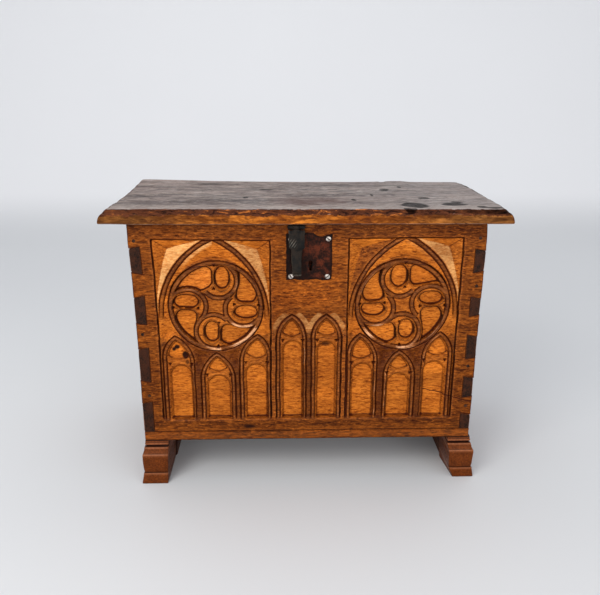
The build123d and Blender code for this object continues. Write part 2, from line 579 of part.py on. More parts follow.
# ---- parts; a list is a group of separate solids that share one file -----------------------
parts = {
    "front_board": front_board(),
    "back_board": back_board(),
    "left_side_board": side_board(-1, PINS_L),
    "right_side_board": side_board(1, PINS_R),
    "bottom_board": bottom_board(),
    "left_foot": foot(-1, inner_top=200.3, inner_low=205.2),
    "right_foot": foot(1, inner_top=198.0, inner_low=208.0),
    "lid_board": lid_board(),
    "front_corner_nails": corner_nails(FRONT_NAILS, Y_FRONT, -1),
    "back_corner_nails": corner_nails(BACK_NAILS, Y_BACK, 1),
    "bottom_nails": bottom_nails(BOTTOM_NAILS),
    "foot_nails": foot_nails(),
    "hinge_lid_nails": [nail for x in HINGES.values()
                        for nail in lid_nails(hinge_spots(x, LID_LEAF_NAILS))],
    "hinge_body_nails": hinge_body_nails(),
    "hasp_hinge_leaf": hasp_leaf(),
    "hasp_leaf_nails": lid_nails(HASP_NAILS),
    "hasp_pin": rod_x(HASP_X0 - 0.8, HASP_X1 + 0.8, HASP_Y, HASP_Z, HASP_PIN_R),
    "hasp_strap": hasp_strap(),
    "hasp_staple": hasp_staple(),
    "lock_plate": lock_plate(),
    "lock_plate_screws": [plate_screw(x, z) for x, z in SCREWS],
    "lock_case": lock_case(),
    "lock_case_rivets": [case_rivet(x, z) for x, z in RIVETS],
    "lock_bolt": lock_bolt(),
    "bolt_guides": [bolt_guide(x) for x in (-8.4, 13.2)],
    "bolt_spring": bolt_spring(),
    "lock_ward": lock_ward(),
}
for tag, x in HINGES.items():
    parts[f"{tag}_hinge_lid_leaf"] = hinge_lid_leaf(x)
    parts[f"{tag}_hinge_body_leaf"] = hinge_body_leaf(x)
    parts[f"{tag}_hinge_pin"] = hinge_pin(x)

os.makedirs("parts", exist_ok=True)
for name, shape in parts.items():
    if isinstance(shape, list):
        placed = Compound(children=[TO_FOOTPRINT * item.solid() for item in shape])
    else:
        placed = TO_FOOTPRINT * shape
    export_step(placed, f"parts/{name}.step")
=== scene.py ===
# Looks of a small oak coffer with a carved tracery front, built round its CAD frame.
# Shapes are in mm in the carcase frame: x to the right, y to the back with 0 at mid depth,
# z up from the ground. On a board's face u runs along it, v is the height z.
import math
from types import SimpleNamespace

import bpy
import numpy as np
from mathutils import Matrix, Vector
from mathutils.geometry import delaunay_2d_cdt


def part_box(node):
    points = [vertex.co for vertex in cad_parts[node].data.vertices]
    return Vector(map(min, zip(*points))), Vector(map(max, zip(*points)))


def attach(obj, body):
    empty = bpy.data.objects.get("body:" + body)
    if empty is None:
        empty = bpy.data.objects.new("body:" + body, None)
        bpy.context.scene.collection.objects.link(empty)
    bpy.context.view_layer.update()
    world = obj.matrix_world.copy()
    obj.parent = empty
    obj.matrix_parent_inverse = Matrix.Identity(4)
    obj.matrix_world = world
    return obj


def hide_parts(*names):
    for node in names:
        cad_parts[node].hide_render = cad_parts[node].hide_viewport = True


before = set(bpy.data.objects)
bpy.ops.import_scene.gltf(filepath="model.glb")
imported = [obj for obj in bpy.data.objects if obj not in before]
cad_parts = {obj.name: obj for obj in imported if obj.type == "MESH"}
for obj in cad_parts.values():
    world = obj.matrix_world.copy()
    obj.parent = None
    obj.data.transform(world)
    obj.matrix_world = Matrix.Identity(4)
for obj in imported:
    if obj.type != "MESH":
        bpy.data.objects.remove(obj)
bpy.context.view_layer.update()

# ---- carcase, placed by the frame's front board
HALF_D = 136.0
FACE_Y = -HALF_D
_low, _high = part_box("front_board")
ORIGIN_X = (_low.x + _high.x) / 2 * 1000
ORIGIN_Y = _low.y * 1000 + HALF_D
BOARD_Z0, BOARD_Z1 = _low.z * 1000, _high.z * 1000
HALF_W = (_high.x - _low.x) * 500

SIDE_T, FACE_T = 14.5, 18.0          # thickness of the side boards, of the front and back
FLARE = 1.3                          # how far each dovetail edge slopes from its mean height
# dovetail pins (bottom, top) at the left and right corners
PINS_LEFT = [(316.9, 351.7), (245.5, 283.6), (160.1, 209.0), (81.0, 126.9)]
PINS_RIGHT = [(316.9, 347.1), (254.4, 280.0), (191.0, 224.5), (131.7, 161.6), (81.0, 103.8)]


# ================================================================ numeric helpers
def unit(x):
    return np.clip(x, 0, 1)


def ease(a, b, x):
    """Smooth step from 0 at a to 1 at b."""
    t = unit((x - a) / (b - a))
    return t * t * (3 - 2 * t)


def bell(x, width):
    return np.exp(-(x / width) ** 2)


def oval(x, y, cx, cy, rx, ry):
    """Scaled distance from an oval's centre, 1 on its outline."""
    return np.hypot((x - cx) / rx, (y - cy) / ry)


def arris(t):
    """Fall of a quarter round: 1 at the edge (t = 0), 0 at t = 1."""
    return 1 - np.sqrt(1 - (1 - t) ** 2)


def lattice(ix, iy, seed):
    """Hash of lattice points, -1..1."""
    n = ix.astype(np.int64) * 374761393 + iy.astype(np.int64) * 668265263 + seed * 1442695041
    n = n & 0xFFFFFFFF
    n = ((n ^ (n >> 13)) * 1274126177) & 0xFFFFFFFF
    n = n ^ (n >> 16)
    return n / 4294967295.0 * 2 - 1


def noise(x, y, size_x, size_y, seed):
    """Smooth value noise in -1..1 with cells of size_x by size_y."""
    a, b = np.asarray(x, float) / size_x, np.asarray(y, float) / size_y
    ia, ib = np.floor(a), np.floor(b)
    fa, fb = a - ia, b - ib
    fa, fb = fa * fa * (3 - 2 * fa), fb * fb * (3 - 2 * fb)
    low = lattice(ia, ib, seed) * (1 - fa) + lattice(ia + 1, ib, seed) * fa
    high = lattice(ia, ib + 1, seed) * (1 - fa) + lattice(ia + 1, ib + 1, seed) * fa
    return low * (1 - fb) + high * fb


def noise1(x, size, seed):
    return noise(x, x * 0, size, 1, seed)


def polygon_depth(x, y, points):
    """Signed distance to a closed polygon, positive inside."""
    points = np.asarray(points, float)
    dist = np.full(x.shape, 1e9)
    inside = np.zeros(x.shape, bool)
    for (ax, ay), (bx, by) in zip(points, np.roll(points, -1, 0)):
        ex, ey = bx - ax, by - ay
        t = unit(((x - ax) * ex + (y - ay) * ey) / (ex * ex + ey * ey + 1e-12))
        dist = np.minimum(dist, np.hypot(x - ax - t * ex, y - ay - t * ey))
        crossing = ax + (y - ay) * ex / (ey if ey != 0 else 1e-12)
        inside ^= ((ay > y) != (by > y)) & (x < crossing)
    return np.where(inside, dist, -dist)


def closed_curve(points, n=4):
    """Catmull-Rom curve through closed points, n steps to a span."""
    p = np.asarray(points, float)
    out = []
    for i in range(len(p)):
        a, b, c, d = (p[(i + k) % len(p)] for k in (-1, 0, 1, 2))
        for k in range(n):
            t = k / n
            out.append(0.5 * (2 * b + (c - a) * t + (2 * a - 5 * b + 4 * c - d) * t * t
                              + (3 * b - a - 3 * c + d) * t ** 3))
    return np.array(out)


def blur(grid):
    """One 1-2-1 pass along each axis."""
    p = np.pad(grid, 1, mode="edge")
    grid = (p[:-2, 1:-1] + 2 * p[1:-1, 1:-1] + p[2:, 1:-1]) / 4
    p = np.pad(grid, 1, mode="edge")
    return (p[1:-1, :-2] + 2 * p[1:-1, 1:-1] + p[1:-1, 2:]) / 4


def box_blur(grid, r):
    """Wide blur: two passes of running sums of radius r."""
    for axis in (0, 1, 0, 1):
        first, last = np.take(grid, [0], axis), np.take(grid, [-1], axis)
        p = np.concatenate([np.repeat(first, r, axis), grid, np.repeat(last, r, axis)], axis)
        total = np.cumsum(p, axis)
        total = np.concatenate([np.zeros_like(np.take(total, [0], axis)), total], axis)
        i = np.arange(grid.shape[axis])
        width = 2 * r + 1
        grid = (np.take(total, i + width, axis) - np.take(total, i, axis)) / width
    return grid


# ================================================================ mesh helpers
def make(name, V, F, body, material, attrs, replaced, angle=40.0):
    """Mesh object from points V (mm) and faces F, turned to face outward."""
    V = np.asarray(V, float)
    W = np.empty_like(V)
    W[:, 0], W[:, 1] = (V[:, 0] + ORIGIN_X) / 1000, (V[:, 1] + ORIGIN_Y) / 1000
    W[:, 2] = V[:, 2] / 1000
    mesh = bpy.data.meshes.new(name)
    mesh.from_pydata(W.tolist(), [], F)
    mesh.update()
    mesh.calc_loop_triangles()
    corners = np.empty(len(mesh.loop_triangles) * 3, np.int64)
    mesh.loop_triangles.foreach_get("vertices", corners)
    T = W[corners].reshape(-1, 3, 3)
    if np.einsum("ij,ij->i", T[:, 0], np.cross(T[:, 1], T[:, 2])).sum() < 0:
        mesh.flip_normals()
    for key, values in attrs.items():
        attribute = mesh.attributes.new(key, "FLOAT", "POINT")
        attribute.data.foreach_set("value", np.full(len(V), values, np.float32))
    mesh.polygons.foreach_set("use_smooth", np.ones(len(mesh.polygons), bool))
    mesh.set_sharp_from_angle(angle=math.radians(angle))
    mesh.materials.append(material)
    ob = bpy.data.objects.new(name, mesh)
    bpy.context.scene.collection.objects.link(ob)
    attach(ob, body)
    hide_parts(replaced)


def outlines(F, count):
    """Ordered border loops of an open mesh of count vertices."""
    F = np.asarray(F, np.int64)
    n = F.shape[1]
    edges = np.concatenate([np.stack([F[:, i], F[:, (i + 1) % n]], 1) for i in range(n)])
    key, reverse = edges[:, 0] * count + edges[:, 1], edges[:, 1] * count + edges[:, 0]
    follow = {int(a): int(b) for a, b in edges[~np.isin(key, reverse)]}
    loops = []
    while follow:
        start = next(iter(follow))
        loop, cur = [start], follow.pop(start)
        while cur != start:
            loop.append(cur)
            cur = follow.pop(cur)
        loops.append(np.array(loop))
    return loops


def grid_quads(idx):
    quads = np.stack([idx[:-1, :-1], idx[1:, :-1], idx[1:, 1:], idx[:-1, 1:]], -1)
    return quads.reshape(-1, 4)


def ring_wall(a, b):
    """Quads between two closed rings of vertices."""
    return np.stack([np.roll(a, -1), a, b, np.roll(b, -1)], -1).tolist()


def join(parts):
    """One mesh of several (points, faces)."""
    F, count = [], 0
    for v, f in parts:
        F += [[i + count for i in face] for face in f]
        count += len(v)
    return np.concatenate([v for v, _ in parts]), F


def grid_lines(lo, hi, step, must):
    """Sorted grid lines from lo to hi that hold every value in must."""
    must = sorted(set([lo, hi] + [m for m in must if lo < m < hi]))
    out = [must[0]]
    for a, b in zip(must[:-1], must[1:]):
        n = max(1, int(round((b - a) / step)))
        out += list(a + (b - a) * np.arange(1, n + 1) / n)
    return np.array(out)


def board(u0, u1, tabs_left, tabs_right, step, surface, thickness, place, inner=None,
          must_u=(), must_v=(), rows=4):
    """A board from -u0 to u0 with tabs out to u1 at both ends, as one closed mesh.
    tabs: (bottom at u0, top at u0, bottom at u1, top at u1).
    surface(u, v) gives the height of the face and its masks, inner(u, v) the heights of the
    outline at the back, place(u, v, depth) the points."""
    must = list(must_v) + [h for tab in tabs_left + tabs_right for h in tab[:2]]
    vl = grid_lines(BOARD_Z0, BOARD_Z1, step, must)
    ul = grid_lines(-u0, u0, step, must_u)
    gu, gv = np.meshgrid(ul, vl, indexing="ij")
    u, v = [gu.ravel()], [gv.ravel()]
    idx = np.arange(gu.size).reshape(gu.shape)
    F = [grid_quads(idx)]
    count = gu.size
    columns = max(3, int(round((u1 - u0) / step)))
    for side, tabs in ((-1, tabs_left), (1, tabs_right)):
        end = idx[0] if side < 0 else idx[-1]
        for a0, b0, a1, b1 in tabs:
            rows_in = np.where((vl >= a0 - 1e-6) & (vl <= b0 + 1e-6))[0]
            prev = end[rows_in]
            f = (vl[rows_in] - a0) / (b0 - a0)
            for s in range(1, columns + 1):
                t = s / columns
                low, high = a0 + (a1 - a0) * t, b0 + (b1 - b0) * t
                u.append(np.full(len(f), side * (u0 + (u1 - u0) * t)))
                v.append(low + f * (high - low))
                cur = count + np.arange(len(f))
                count += len(f)
                quads = np.stack([prev[:-1], cur[:-1], cur[1:], prev[1:]], -1)
                F.append(quads if side > 0 else quads[:, ::-1])
                prev = cur
    u, v, F = np.concatenate(u), np.concatenate(v), np.concatenate(F)
    height, masks = surface(u, v)
    face_count = count
    loop, = outlines(F, count)
    lu, lv, lh = u[loop], v[loop], height[loop]
    back_v = inner(lu, lv) if inner else lv
    U, V, D, wall = [u], [v], [-height], [np.zeros(count)]
    faces = F.tolist()
    prev = loop
    for r in range(1, rows + 1):
        t = r / rows
        U.append(lu)
        V.append(lv + (back_v - lv) * t)
        D.append((-lh) * (1 - t) + thickness * t)
        wall.append(np.full(len(loop), t))
        cur = count + np.arange(len(loop))
        count += len(loop)
        faces += ring_wall(prev, cur)
        prev = cur
    faces.append(prev.tolist())
    U, V, D, wall = map(np.concatenate, (U, V, D, wall))
    return SimpleNamespace(points=place(U, V, D), faces=faces, u=U, v=V, on_face=wall == 0,
                           face_count=face_count, index=idx, ul=ul, vl=vl, masks=masks)


# ================================================================ materials
def linear(colour):
    """sRGB bytes to linear RGBA."""
    return tuple(c / 255 / 12.92 if c / 255 <= 0.04045 else ((c / 255 + 0.055) / 1.055) ** 2.4
                 for c in colour) + (1.0,)


def shade(colour, gain, lift=0):
    return tuple(min(255, int(c * gain + lift)) for c in colour)


def stretch(axis, along, across):
    """Texture scale along one axis and across it."""
    scale = [across] * 3
    scale[axis] = along
    return tuple(scale)


class Shader:
    """Node tree round one Principled shader. Colours are sRGB bytes, or linear RGBA."""

    def __init__(self, name):
        self.material = bpy.data.materials.new(name)
        self.material.use_nodes = True
        self.tree = self.material.node_tree
        self.tree.nodes.clear()
        output = self.node("OutputMaterial")
        self.bsdf = self.node("BsdfPrincipled")
        self.feed(output.inputs[0], self.bsdf.outputs[0])
        self.coords = self.node("TexCoord").outputs["Object"]

    def node(self, kind):
        return self.tree.nodes.new("ShaderNode" + kind)

    def feed(self, socket, value):
        if isinstance(value, bpy.types.NodeSocket):
            self.tree.links.new(value, socket)
        else:
            socket.default_value = value

    def texture(self, kind, scale, loc):
        mapping = self.node("Mapping")
        self.feed(mapping.inputs["Vector"], self.coords)
        mapping.inputs["Scale"].default_value = scale if isinstance(scale, tuple) else (scale,) * 3
        mapping.inputs["Location"].default_value = loc
        texture = self.node("Tex" + kind)
        self.feed(texture.inputs["Vector"], mapping.outputs[0])
        texture.inputs["Scale"].default_value = 1.0
        return texture

    def noise(self, scale, detail=4.0, rough=0.55, warp=0.0, loc=(0, 0, 0)):
        texture = self.texture("Noise", scale, loc)
        texture.inputs["Detail"].default_value = detail
        texture.inputs["Roughness"].default_value = rough
        texture.inputs["Distortion"].default_value = warp
        return texture.outputs["Fac"]

    def cells(self, scale, loc):
        return self.texture("Voronoi", scale, loc).outputs["Distance"]

    def ramp(self, x, start, end, to=(0.0, 1.0)):
        """Smooth step of x from start to end, mapped on the range to."""
        n = self.node("MapRange")
        n.interpolation_type = "SMOOTHSTEP"
        self.feed(n.inputs["Value"], x)
        n.inputs["From Min"].default_value, n.inputs["From Max"].default_value = start, end
        n.inputs["To Min"].default_value, n.inputs["To Max"].default_value = to
        return n.outputs[0]

    def math(self, op, a, b=0.0, c=0.0, clamp=False):
        n = self.node("Math")
        n.operation = op
        n.use_clamp = clamp
        self.feed(n.inputs[0], a)
        self.feed(n.inputs[1], b)
        n.inputs[2].default_value = c
        return n.outputs[0]

    def add(self, a, b):
        return self.math("ADD", a, b)

    def sub(self, a, b):
        return self.math("SUBTRACT", a, b)

    def mul(self, a, b, clamp=False):
        return self.math("MULTIPLY", a, b, clamp=clamp)

    def mix(self, factor, a, b, mode="MIX"):
        n = self.node("Mix")
        n.data_type = "RGBA"
        n.blend_type = mode
        self.feed(n.inputs[0], factor)
        for socket, value in ((n.inputs[6], a), (n.inputs[7], b)):
            is_bytes = isinstance(value, tuple) and len(value) == 3
            self.feed(socket, linear(value) if is_bytes else value)
        return n.outputs[2]

    def stain(self, factor, colour, tint):
        return self.mix(factor, colour, tint, "MULTIPLY")

    def attr(self, name):
        n = self.node("Attribute")
        n.attribute_name = name
        return n.outputs["Fac"]

    def split(self, vector):
        n = self.node("SeparateXYZ")
        self.feed(n.inputs[0], vector)
        return n.outputs

    def normal(self):
        return self.split(self.node("NewGeometry").outputs["True Normal"])

    def position(self):
        return self.split(self.coords)

    def bump(self, height, strength, distance):
        n = self.node("Bump")
        n.inputs["Strength"].default_value = strength
        n.inputs["Distance"].default_value = distance
        self.feed(n.inputs["Height"], height)
        self.feed(self.bsdf.inputs["Normal"], n.outputs[0])

    def finish(self, colour, rough, metal, spec):
        self.feed(self.bsdf.inputs["Base Color"], colour)
        self.feed(self.bsdf.inputs["Roughness"], rough)
        self.feed(self.bsdf.inputs["Metallic"], metal)
        self.bsdf.inputs["Specular IOR Level"].default_value = spec
        self.bsdf.inputs["Coat Roughness"].default_value = 0.35
        return self.material


def oak(name, light, dark, rough, spec, axis=0, floor=None, pale=None, cavity=(48, 16, 6),
        end=None, grain=1.0, soft=False):
    """Oak with its grain along axis: growth bands, streaks, pores, ray flecks and blotches.
    floor, pale and end are (light, dark) pairs for sunk floors, cut facets and end grain.
    The mesh masks cav, edge and tone darken hollows with patina and painted shade, brighten worn
    edges and paint highlights on crests and ledges, and shift the tone."""
    n = Shader(name)
    streak = n.noise(stretch(axis, 85, 410), detail=6, rough=0.68, warp=0.4)
    band = n.noise(stretch(axis, 7, 80), detail=3, rough=0.5, warp=0.3, loc=(3, 1, 7))
    fine = n.noise(stretch(axis, 190, 760), detail=4, rough=0.65, warp=0.2, loc=(5, 2, 1))
    pore = n.noise(stretch(axis, 120, 560), detail=3, rough=0.55, warp=0.3, loc=(1, 9, 4))
    pore = n.ramp(pore, 0.54, 0.66)
    fleck = n.noise(stretch(axis, 150, 330), detail=3, rough=0.6, warp=0.4, loc=(8, 3, 2))
    fleck = n.ramp(fleck, 0.55, 0.68)
    blotch = n.noise(14, detail=4, rough=0.6, loc=(2, 2, 9))
    growth = n.add(n.mul(streak, 0.72), n.mul(band, 0.28))
    col = n.mix(n.ramp(growth, 0.36, 0.66), dark, light)
    if floor:
        col = n.mix(n.attr("floor"), col, n.mix(n.ramp(growth, 0.34, 0.64), floor[1], floor[0]))
    if pale:
        col = n.mix(n.attr("pale"), col, n.mix(n.ramp(growth, 0.36, 0.6), pale[1], pale[0]))
    keep = n.sub(1.0, n.mul(n.attr("pale"), 0.75)) if pale else 1.0
    col = n.mix(n.mul(fleck, 0.42 * grain), col, shade(light, 1.25, 10))
    lines = n.mul(n.mul(n.ramp(fine, 0.36, 0.58, to=(1, 0)), 0.62 * grain), keep)
    col = n.stain(lines, col, (0.46, 0.32, 0.22, 1))
    col = n.stain(n.mul(n.mul(pore, 0.75 * grain), keep), col, (0.30, 0.17, 0.10, 1))
    clouds = n.ramp(blotch, 0.40, 0.68, to=(0.0, 0.12 if soft else 0.42))
    col = n.stain(clouds, col, (0.50, 0.38, 0.30, 1))
    # masks of the mesh
    tone = n.attr("tone")
    col = n.mix(n.mul(tone, -1.0, clamp=True), col, (38, 15, 6))
    col = n.stain(n.mul(tone, 1.0, clamp=True), col, (1.9, 1.75, 1.3, 1))
    # mask edge: worn edges, plus painted highlights on the carved crests and on the feet's ledges
    wear_and_highlight = n.attr("edge")
    if soft:
        col = n.mix(n.mul(wear_and_highlight, n.ramp(streak, 0.3, 0.7, to=(0.6, 1.0))), col, (196, 122, 78))
    else:
        worn_and_highlighted = n.mul(wear_and_highlight, n.ramp(streak, 0.3, 0.7, to=(0.1, 0.6)))
        col = n.mix(worn_and_highlighted, col, shade(light, 1.3, 10))
        # painted highlights on the rounded crests
        crest_highlight = n.mul(n.ramp(wear_and_highlight, 0.45, 1.0), n.ramp(streak, 0.3, 0.6, to=(0.35, 0.85)))
        col = n.mix(crest_highlight, col, (236, 176, 128))
    # darker hollows from the mask cav: patina and painted shade
    grime_and_shade = n.add(n.attr("cav"), n.mul(n.sub(blotch, 0.5), 0.5))
    grime_and_shade = n.ramp(grime_and_shade, 0.04, 0.72, to=(0.0, 0.97))
    col = n.mix(n.mul(grime_and_shade, n.ramp(n.attr("cav"), 0.02, 0.12)), col, cavity)
    if end:
        on_end = n.ramp(n.math("ABSOLUTE", n.normal()[axis]), 0.80, 0.93)
        specks = n.noise(520, detail=3, rough=0.7, loc=(4, 4, 4))
        patches = n.noise(stretch(axis, 30, 60), detail=4, rough=0.6, warp=0.5)
        end_col = n.mix(n.ramp(specks, 0.35, 0.62), end[1], end[0])
        patches = n.ramp(patches, 0.4, 0.62, to=(0.0, 0.4))
        end_col = n.mix(patches, end_col, shade(end[0], 1.5))
        col = n.mix(n.mul(on_end, 1.0), col, end_col)
    relief = n.add(n.mul(streak, 0.5), n.mul(fine, 0.35))
    n.bump(n.sub(relief, n.mul(pore, 0.5)), strength=0.55, distance=0.0005)
    gloss = n.ramp(blotch, 0.3, 0.7, to=(rough - 0.07, rough + 0.1))
    n.finish(col, n.add(gloss, n.mul(pore, 0.15)), metal=0.0, spec=spec)
    n.feed(n.bsdf.inputs["Specular IOR Level"],
           n.math("MULTIPLY_ADD", n.attr("edge"), 0.22, c=spec))
    return n.material


DARK_END = ((50, 25, 12), (12, 6, 3))
CARVED = oak("oak_carved", light=(168, 92, 28), dark=(80, 35, 8), rough=0.44, spec=0.05,
             floor=((220, 128, 42), (172, 91, 24)), pale=((248, 190, 120), (210, 134, 68)),
             cavity=(58, 17, 5), end=DARK_END)
BOARD = oak("oak_board", light=(152, 85, 34), dark=(88, 46, 16), rough=0.5, spec=0.05, axis=1,
            end=DARK_END)
BACK = oak("oak_back", light=(134, 80, 38), dark=(82, 46, 21), rough=0.6, spec=0.08,
           end=((72, 42, 25), (36, 21, 12)))
BASE = oak("oak_base", light=(144, 74, 17), dark=(64, 31, 7), rough=0.5, spec=0.05,
           end=((82, 45, 23), (42, 22, 11)))
FOOT = oak("oak_foot", light=(116, 57, 19), dark=(78, 35, 9), rough=0.34, spec=0.07, axis=1,
           grain=0.3, soft=True, cavity=(30, 10, 5))


# ================================================================ board outlines
# how far the warped boards stand out at height z: (z, mm)
LEAN_LEFT = ([81, 130, 215, 255, 281, 306, 331, 357, 382],
             [0.1, 0.5, 0.6, 1.2, 1.6, 2.0, 3.0, 4.1, 4.3])
LEAN_RIGHT = ([81, 240, 281, 318, 331, 344, 357, 370, 380, 384.5],
              [0, 0.3, 0.7, 1.2, 1.9, 1.8, 1.4, 1.2, 0.5, -0.2])


def lean(V):
    """Moves the ends of the boards out, fading to nothing towards the middle."""
    x, z = V[:, 0], V[:, 2]
    out = np.where(x < 0, -np.interp(z, *LEAN_LEFT), np.interp(z, *LEAN_RIGHT))
    V = V.copy()
    V[:, 0] += out * ease(150, 232, np.abs(x))
    return V


def tails(pins):
    """Tabs of a face board: the wood between the pins, wider at the outer end."""
    tabs, top = [], BOARD_Z1
    for low, high in sorted(pins, reverse=True):
        flare = FLARE if top < BOARD_Z1 - 1 else 0
        tabs.append((high + FLARE, top - flare, high - FLARE, top + flare))
        top = low
    return tabs


def board_outline(tabs_left, tabs_right, u0, u1):
    """Outline of a board with tabs, seen from its face."""
    def upward(tabs, s):
        points = [p for a0, b0, a1, b1 in sorted(tabs)
                  for p in ((s * u0, a0), (s * u1, a1), (s * u1, b1), (s * u0, b0))]
        if min(t[0] for t in tabs) > BOARD_Z0 + 1e-6:
            points.insert(0, (s * u0, BOARD_Z0))
        if max(t[1] for t in tabs) < BOARD_Z1 - 1e-6:
            points.append((s * u0, BOARD_Z1))
        return points

    return upward(tabs_right, 1) + upward(tabs_left, -1)[::-1]


def edge_drop(u, v, outline, r):
    """Height of the unevenly rounded arrises, and distance from the outline."""
    d = np.full(u.shape, 9.0)
    near = (np.abs(u) > np.abs(u).max() - 22) | (v < v.min() + 5) | (v > v.max() - 5)
    d[near] = polygon_depth(u[near], v[near], outline)
    r = r * (1 + 0.45 * noise(u, v, 9, 9, 3) + 0.25 * noise(u, v, 3, 3, 5))
    return -r * arris(unit(d / r)), d


# ================================================================ tracery
SILL_Z = 99.0                        # bottom of the carved field
# lancets: left x, right x, apex x, apex z, panel left x, panel right x, panel top z,
# bottom z of the pointed eye over the panel
LANCETS = [(-203.0, -158.6, -184.4, 227.7, -191.8, -165.0, 181.0, 191.5),
           (-151.6, -102.0, -127.7, 203.3, -141.3, -111.3, 165.2, 173.5),
           (-97.2, -52.6, -70.6, 229.4, -87.0, -59.7, 182.0, 193.0),
           (-46.3, -2.6, -23.6, 258.6, -35.2, -9.9, 216.0, 224.6),
           (3.0, 46.2, 24.0, 258.6, 12.9, 37.0, 215.0, 225.6),
           (53.4, 97.0, 70.6, 230.0, 62.0, 89.2, 181.4, 190.5),
           (105.0, 151.5, 127.2, 204.5, 112.5, 142.5, 166.2, 175.0),
           (158.4, 202.4, 183.4, 231.0, 164.0, 191.2, 184.0, 195.0)]
# wheels: hand (1, or -1 for mirrored), centre x, centre z, radius
WHEELS = [(1, -126.5, 269.0, 64.7), (-1, 128.0, 270.0, 65.5)]
# large arches: apex x, half width, springing z, radius of the curve, panel left x, right x,
# panel top z at the left and at the right
ARCHES = [(-129.2, 75.0, 255.0, 122.8, -206.5, -52.0, 363.2, 361.2),
          (129.2, 75.5, 256.0, 123.2, 51.8, 205.4, 363.8, 364.6)]
# long lobe of a wheel, from its centre
LOBE = closed_curve([
    (-6.6, 33), (-5.6, 42), (-6.4, 51), (-13.5, 55.6), (-24, 56.0), (-34, 52.6), (-43, 46.0),
    (-51, 37.5), (-59.2, 27.6), (-50, 31.0), (-40, 32.0), (-30, 30.4), (-20, 28.4), (-11, 28.0)])
# the upper lobe on the left is open to the bar below it
LOBE_OPEN = closed_curve([
    (-5.6, 32), (-5.0, 42), (-5.8, 51), (-12.5, 55.8), (-24, 56.2), (-34, 53.2), (-44, 47.0),
    (-53, 38.0), (-61.5, 26.0), (-58, 20.0), (-50, 22.0), (-40, 24.5), (-30, 24.0), (-20, 22.0),
    (-11, 26.0)])
# for each wheel and quarter: shift of the circle of the curved bar,
HEADS = (((0, 0), (-1.6, -4.4), (0, 0), (0, 0)), ((0, 0), (-0.6, -2.0), (3.6, -0.8), (0, 0)))
# middle and half axes of the small lobe,
OVALS = (((8.6, 40.2, 9.8, 14.8), (6.6, 41.0, 9.9, 16.2), (6.8, 37.4, 10.2, 14.2),
          (8.7, 40.6, 9.4, 15.4)),
         ((6.0, 40.6, 11.0, 15.2), (9.2, 39.3, 9.2, 15.4), (7.1, 35.6, 10.2, 13.6),
          (5.6, 40.6, 9.6, 15.2)))
# and shift of the long lobe
LOBE_SHIFT = (((0, 0),) * 4, ((-3.4, 0.5), (1.8, -1.0), (-2.6, -0.5), (0, -1.0)))


def arch_depth(offset, z, half, spring, radius):
    """Depth inside a pointed arch at a sideways offset from its middle."""
    curve = radius - np.hypot(offset + (radius - half), z - spring)
    return np.where(z > spring, curve, half - offset)


def groove(d, at, half_width, depth):
    """V cut about d = at."""
    return -depth * unit(1 - np.abs(d - at) / half_width) ** 0.8


def triangle(x, z, cx, cz, size, up):
    """Depth inside a small triangle, up = 1 or -1."""
    rise = (z - cz) * up
    return size / 2 - np.maximum(-rise, rise * 0.5 + 0.866 * np.abs(x - cx))


def lancet(x, z, sizes):
    """Depth in from the outer line of one lancet, its height, floor and hole masks."""
    left, right, apex_x, apex_z, panel0, panel1, panel_z, eye_z = sizes
    half, middle = (right - left) / 2, (left + right) / 2
    rise = 1.62 * half + 2.0
    spring = apex_z - rise
    offset = np.abs(x - middle - (apex_x - middle) * unit((z - spring) / rise))
    d = arch_depth(offset, z, half, spring, (half * half + rise * rise) / (2 * half))
    # roll with a quirk on each side
    H = np.maximum(-2.5, -0.5 - 1.5 * np.clip(np.abs(d - 3.5) / 2.1, 0, 1.6) ** 2.2)
    H = np.minimum(H, groove(d, at=0.8, half_width=1.15, depth=4.4) - 0.3)
    H = np.minimum(H, groove(d, at=6.1, half_width=0.95, depth=3.9) - 0.8)
    # round-headed sunk panel
    half_p, mid_p = (panel1 - panel0) / 2, (panel0 + panel1) / 2
    zc = panel_z - half_p
    dp = np.where(z > zc, half_p - np.hypot(x - mid_p, z - zc), half_p - np.abs(x - mid_p))
    roll = -1.9 - 0.5 * unit(np.abs(dp + 4.6) / 1.4) ** 2
    H = np.where((dp > -6.2) & (dp < -3.4) & (d > 6.8), np.maximum(H, roll), H)
    slope = unit((dp + 3.6) / 3.6)
    H = np.where(dp > -3.6, np.minimum(H, -2.3 - 4.6 * slope ** 0.8), H)
    floor = ease(-0.9, 0.6, dp)
    # pointed eye above the crossbar
    bottom = z - (eye_z + ((x - (mid_p * 0.5 + apex_x * 0.5)) ** 2) / 34.0)
    eye = np.minimum(d - 8.6, bottom * 0.9)
    slope = unit((eye + 2.0) / 2.0)
    H = np.where(eye > -2.0, np.minimum(H, -2.2 - 4.0 * slope ** 0.8), H)
    floor = np.maximum(floor, ease(-0.6, 0.6, eye))
    # dark lines along the sunk panel, its moulding and the eye: patina and painted shade
    hole = 0.72 * bell(dp + 0.3, 0.75) + 0.5 * bell(dp + 4.0, 0.6) * (d > 6.0)
    hole = np.maximum(hole * ease(SILL_Z + 1, SILL_Z + 5, z), 0.6 * bell(eye + 0.3, 0.75))
    # a small triangle on each side of the crossbar, darkened with painted shade
    nick_z = (panel_z + eye_z) / 2 - 1.5
    for side in (-1, 1):
        nick = triangle(x, z, mid_p + side * (half_p + 1.2), nick_z, size=3.2, up=-1)
        H = np.minimum(H, np.where(nick > -0.7, -2.4 - 3.4 * unit((nick + 0.7) / 1.4), 0))
        hole = np.maximum(hole, 0.7 * ease(-0.5, 0.5, nick))
    floor = np.maximum(floor, 0.42 * ease(6.4, 7.6, d))
    return d, H, floor, hole


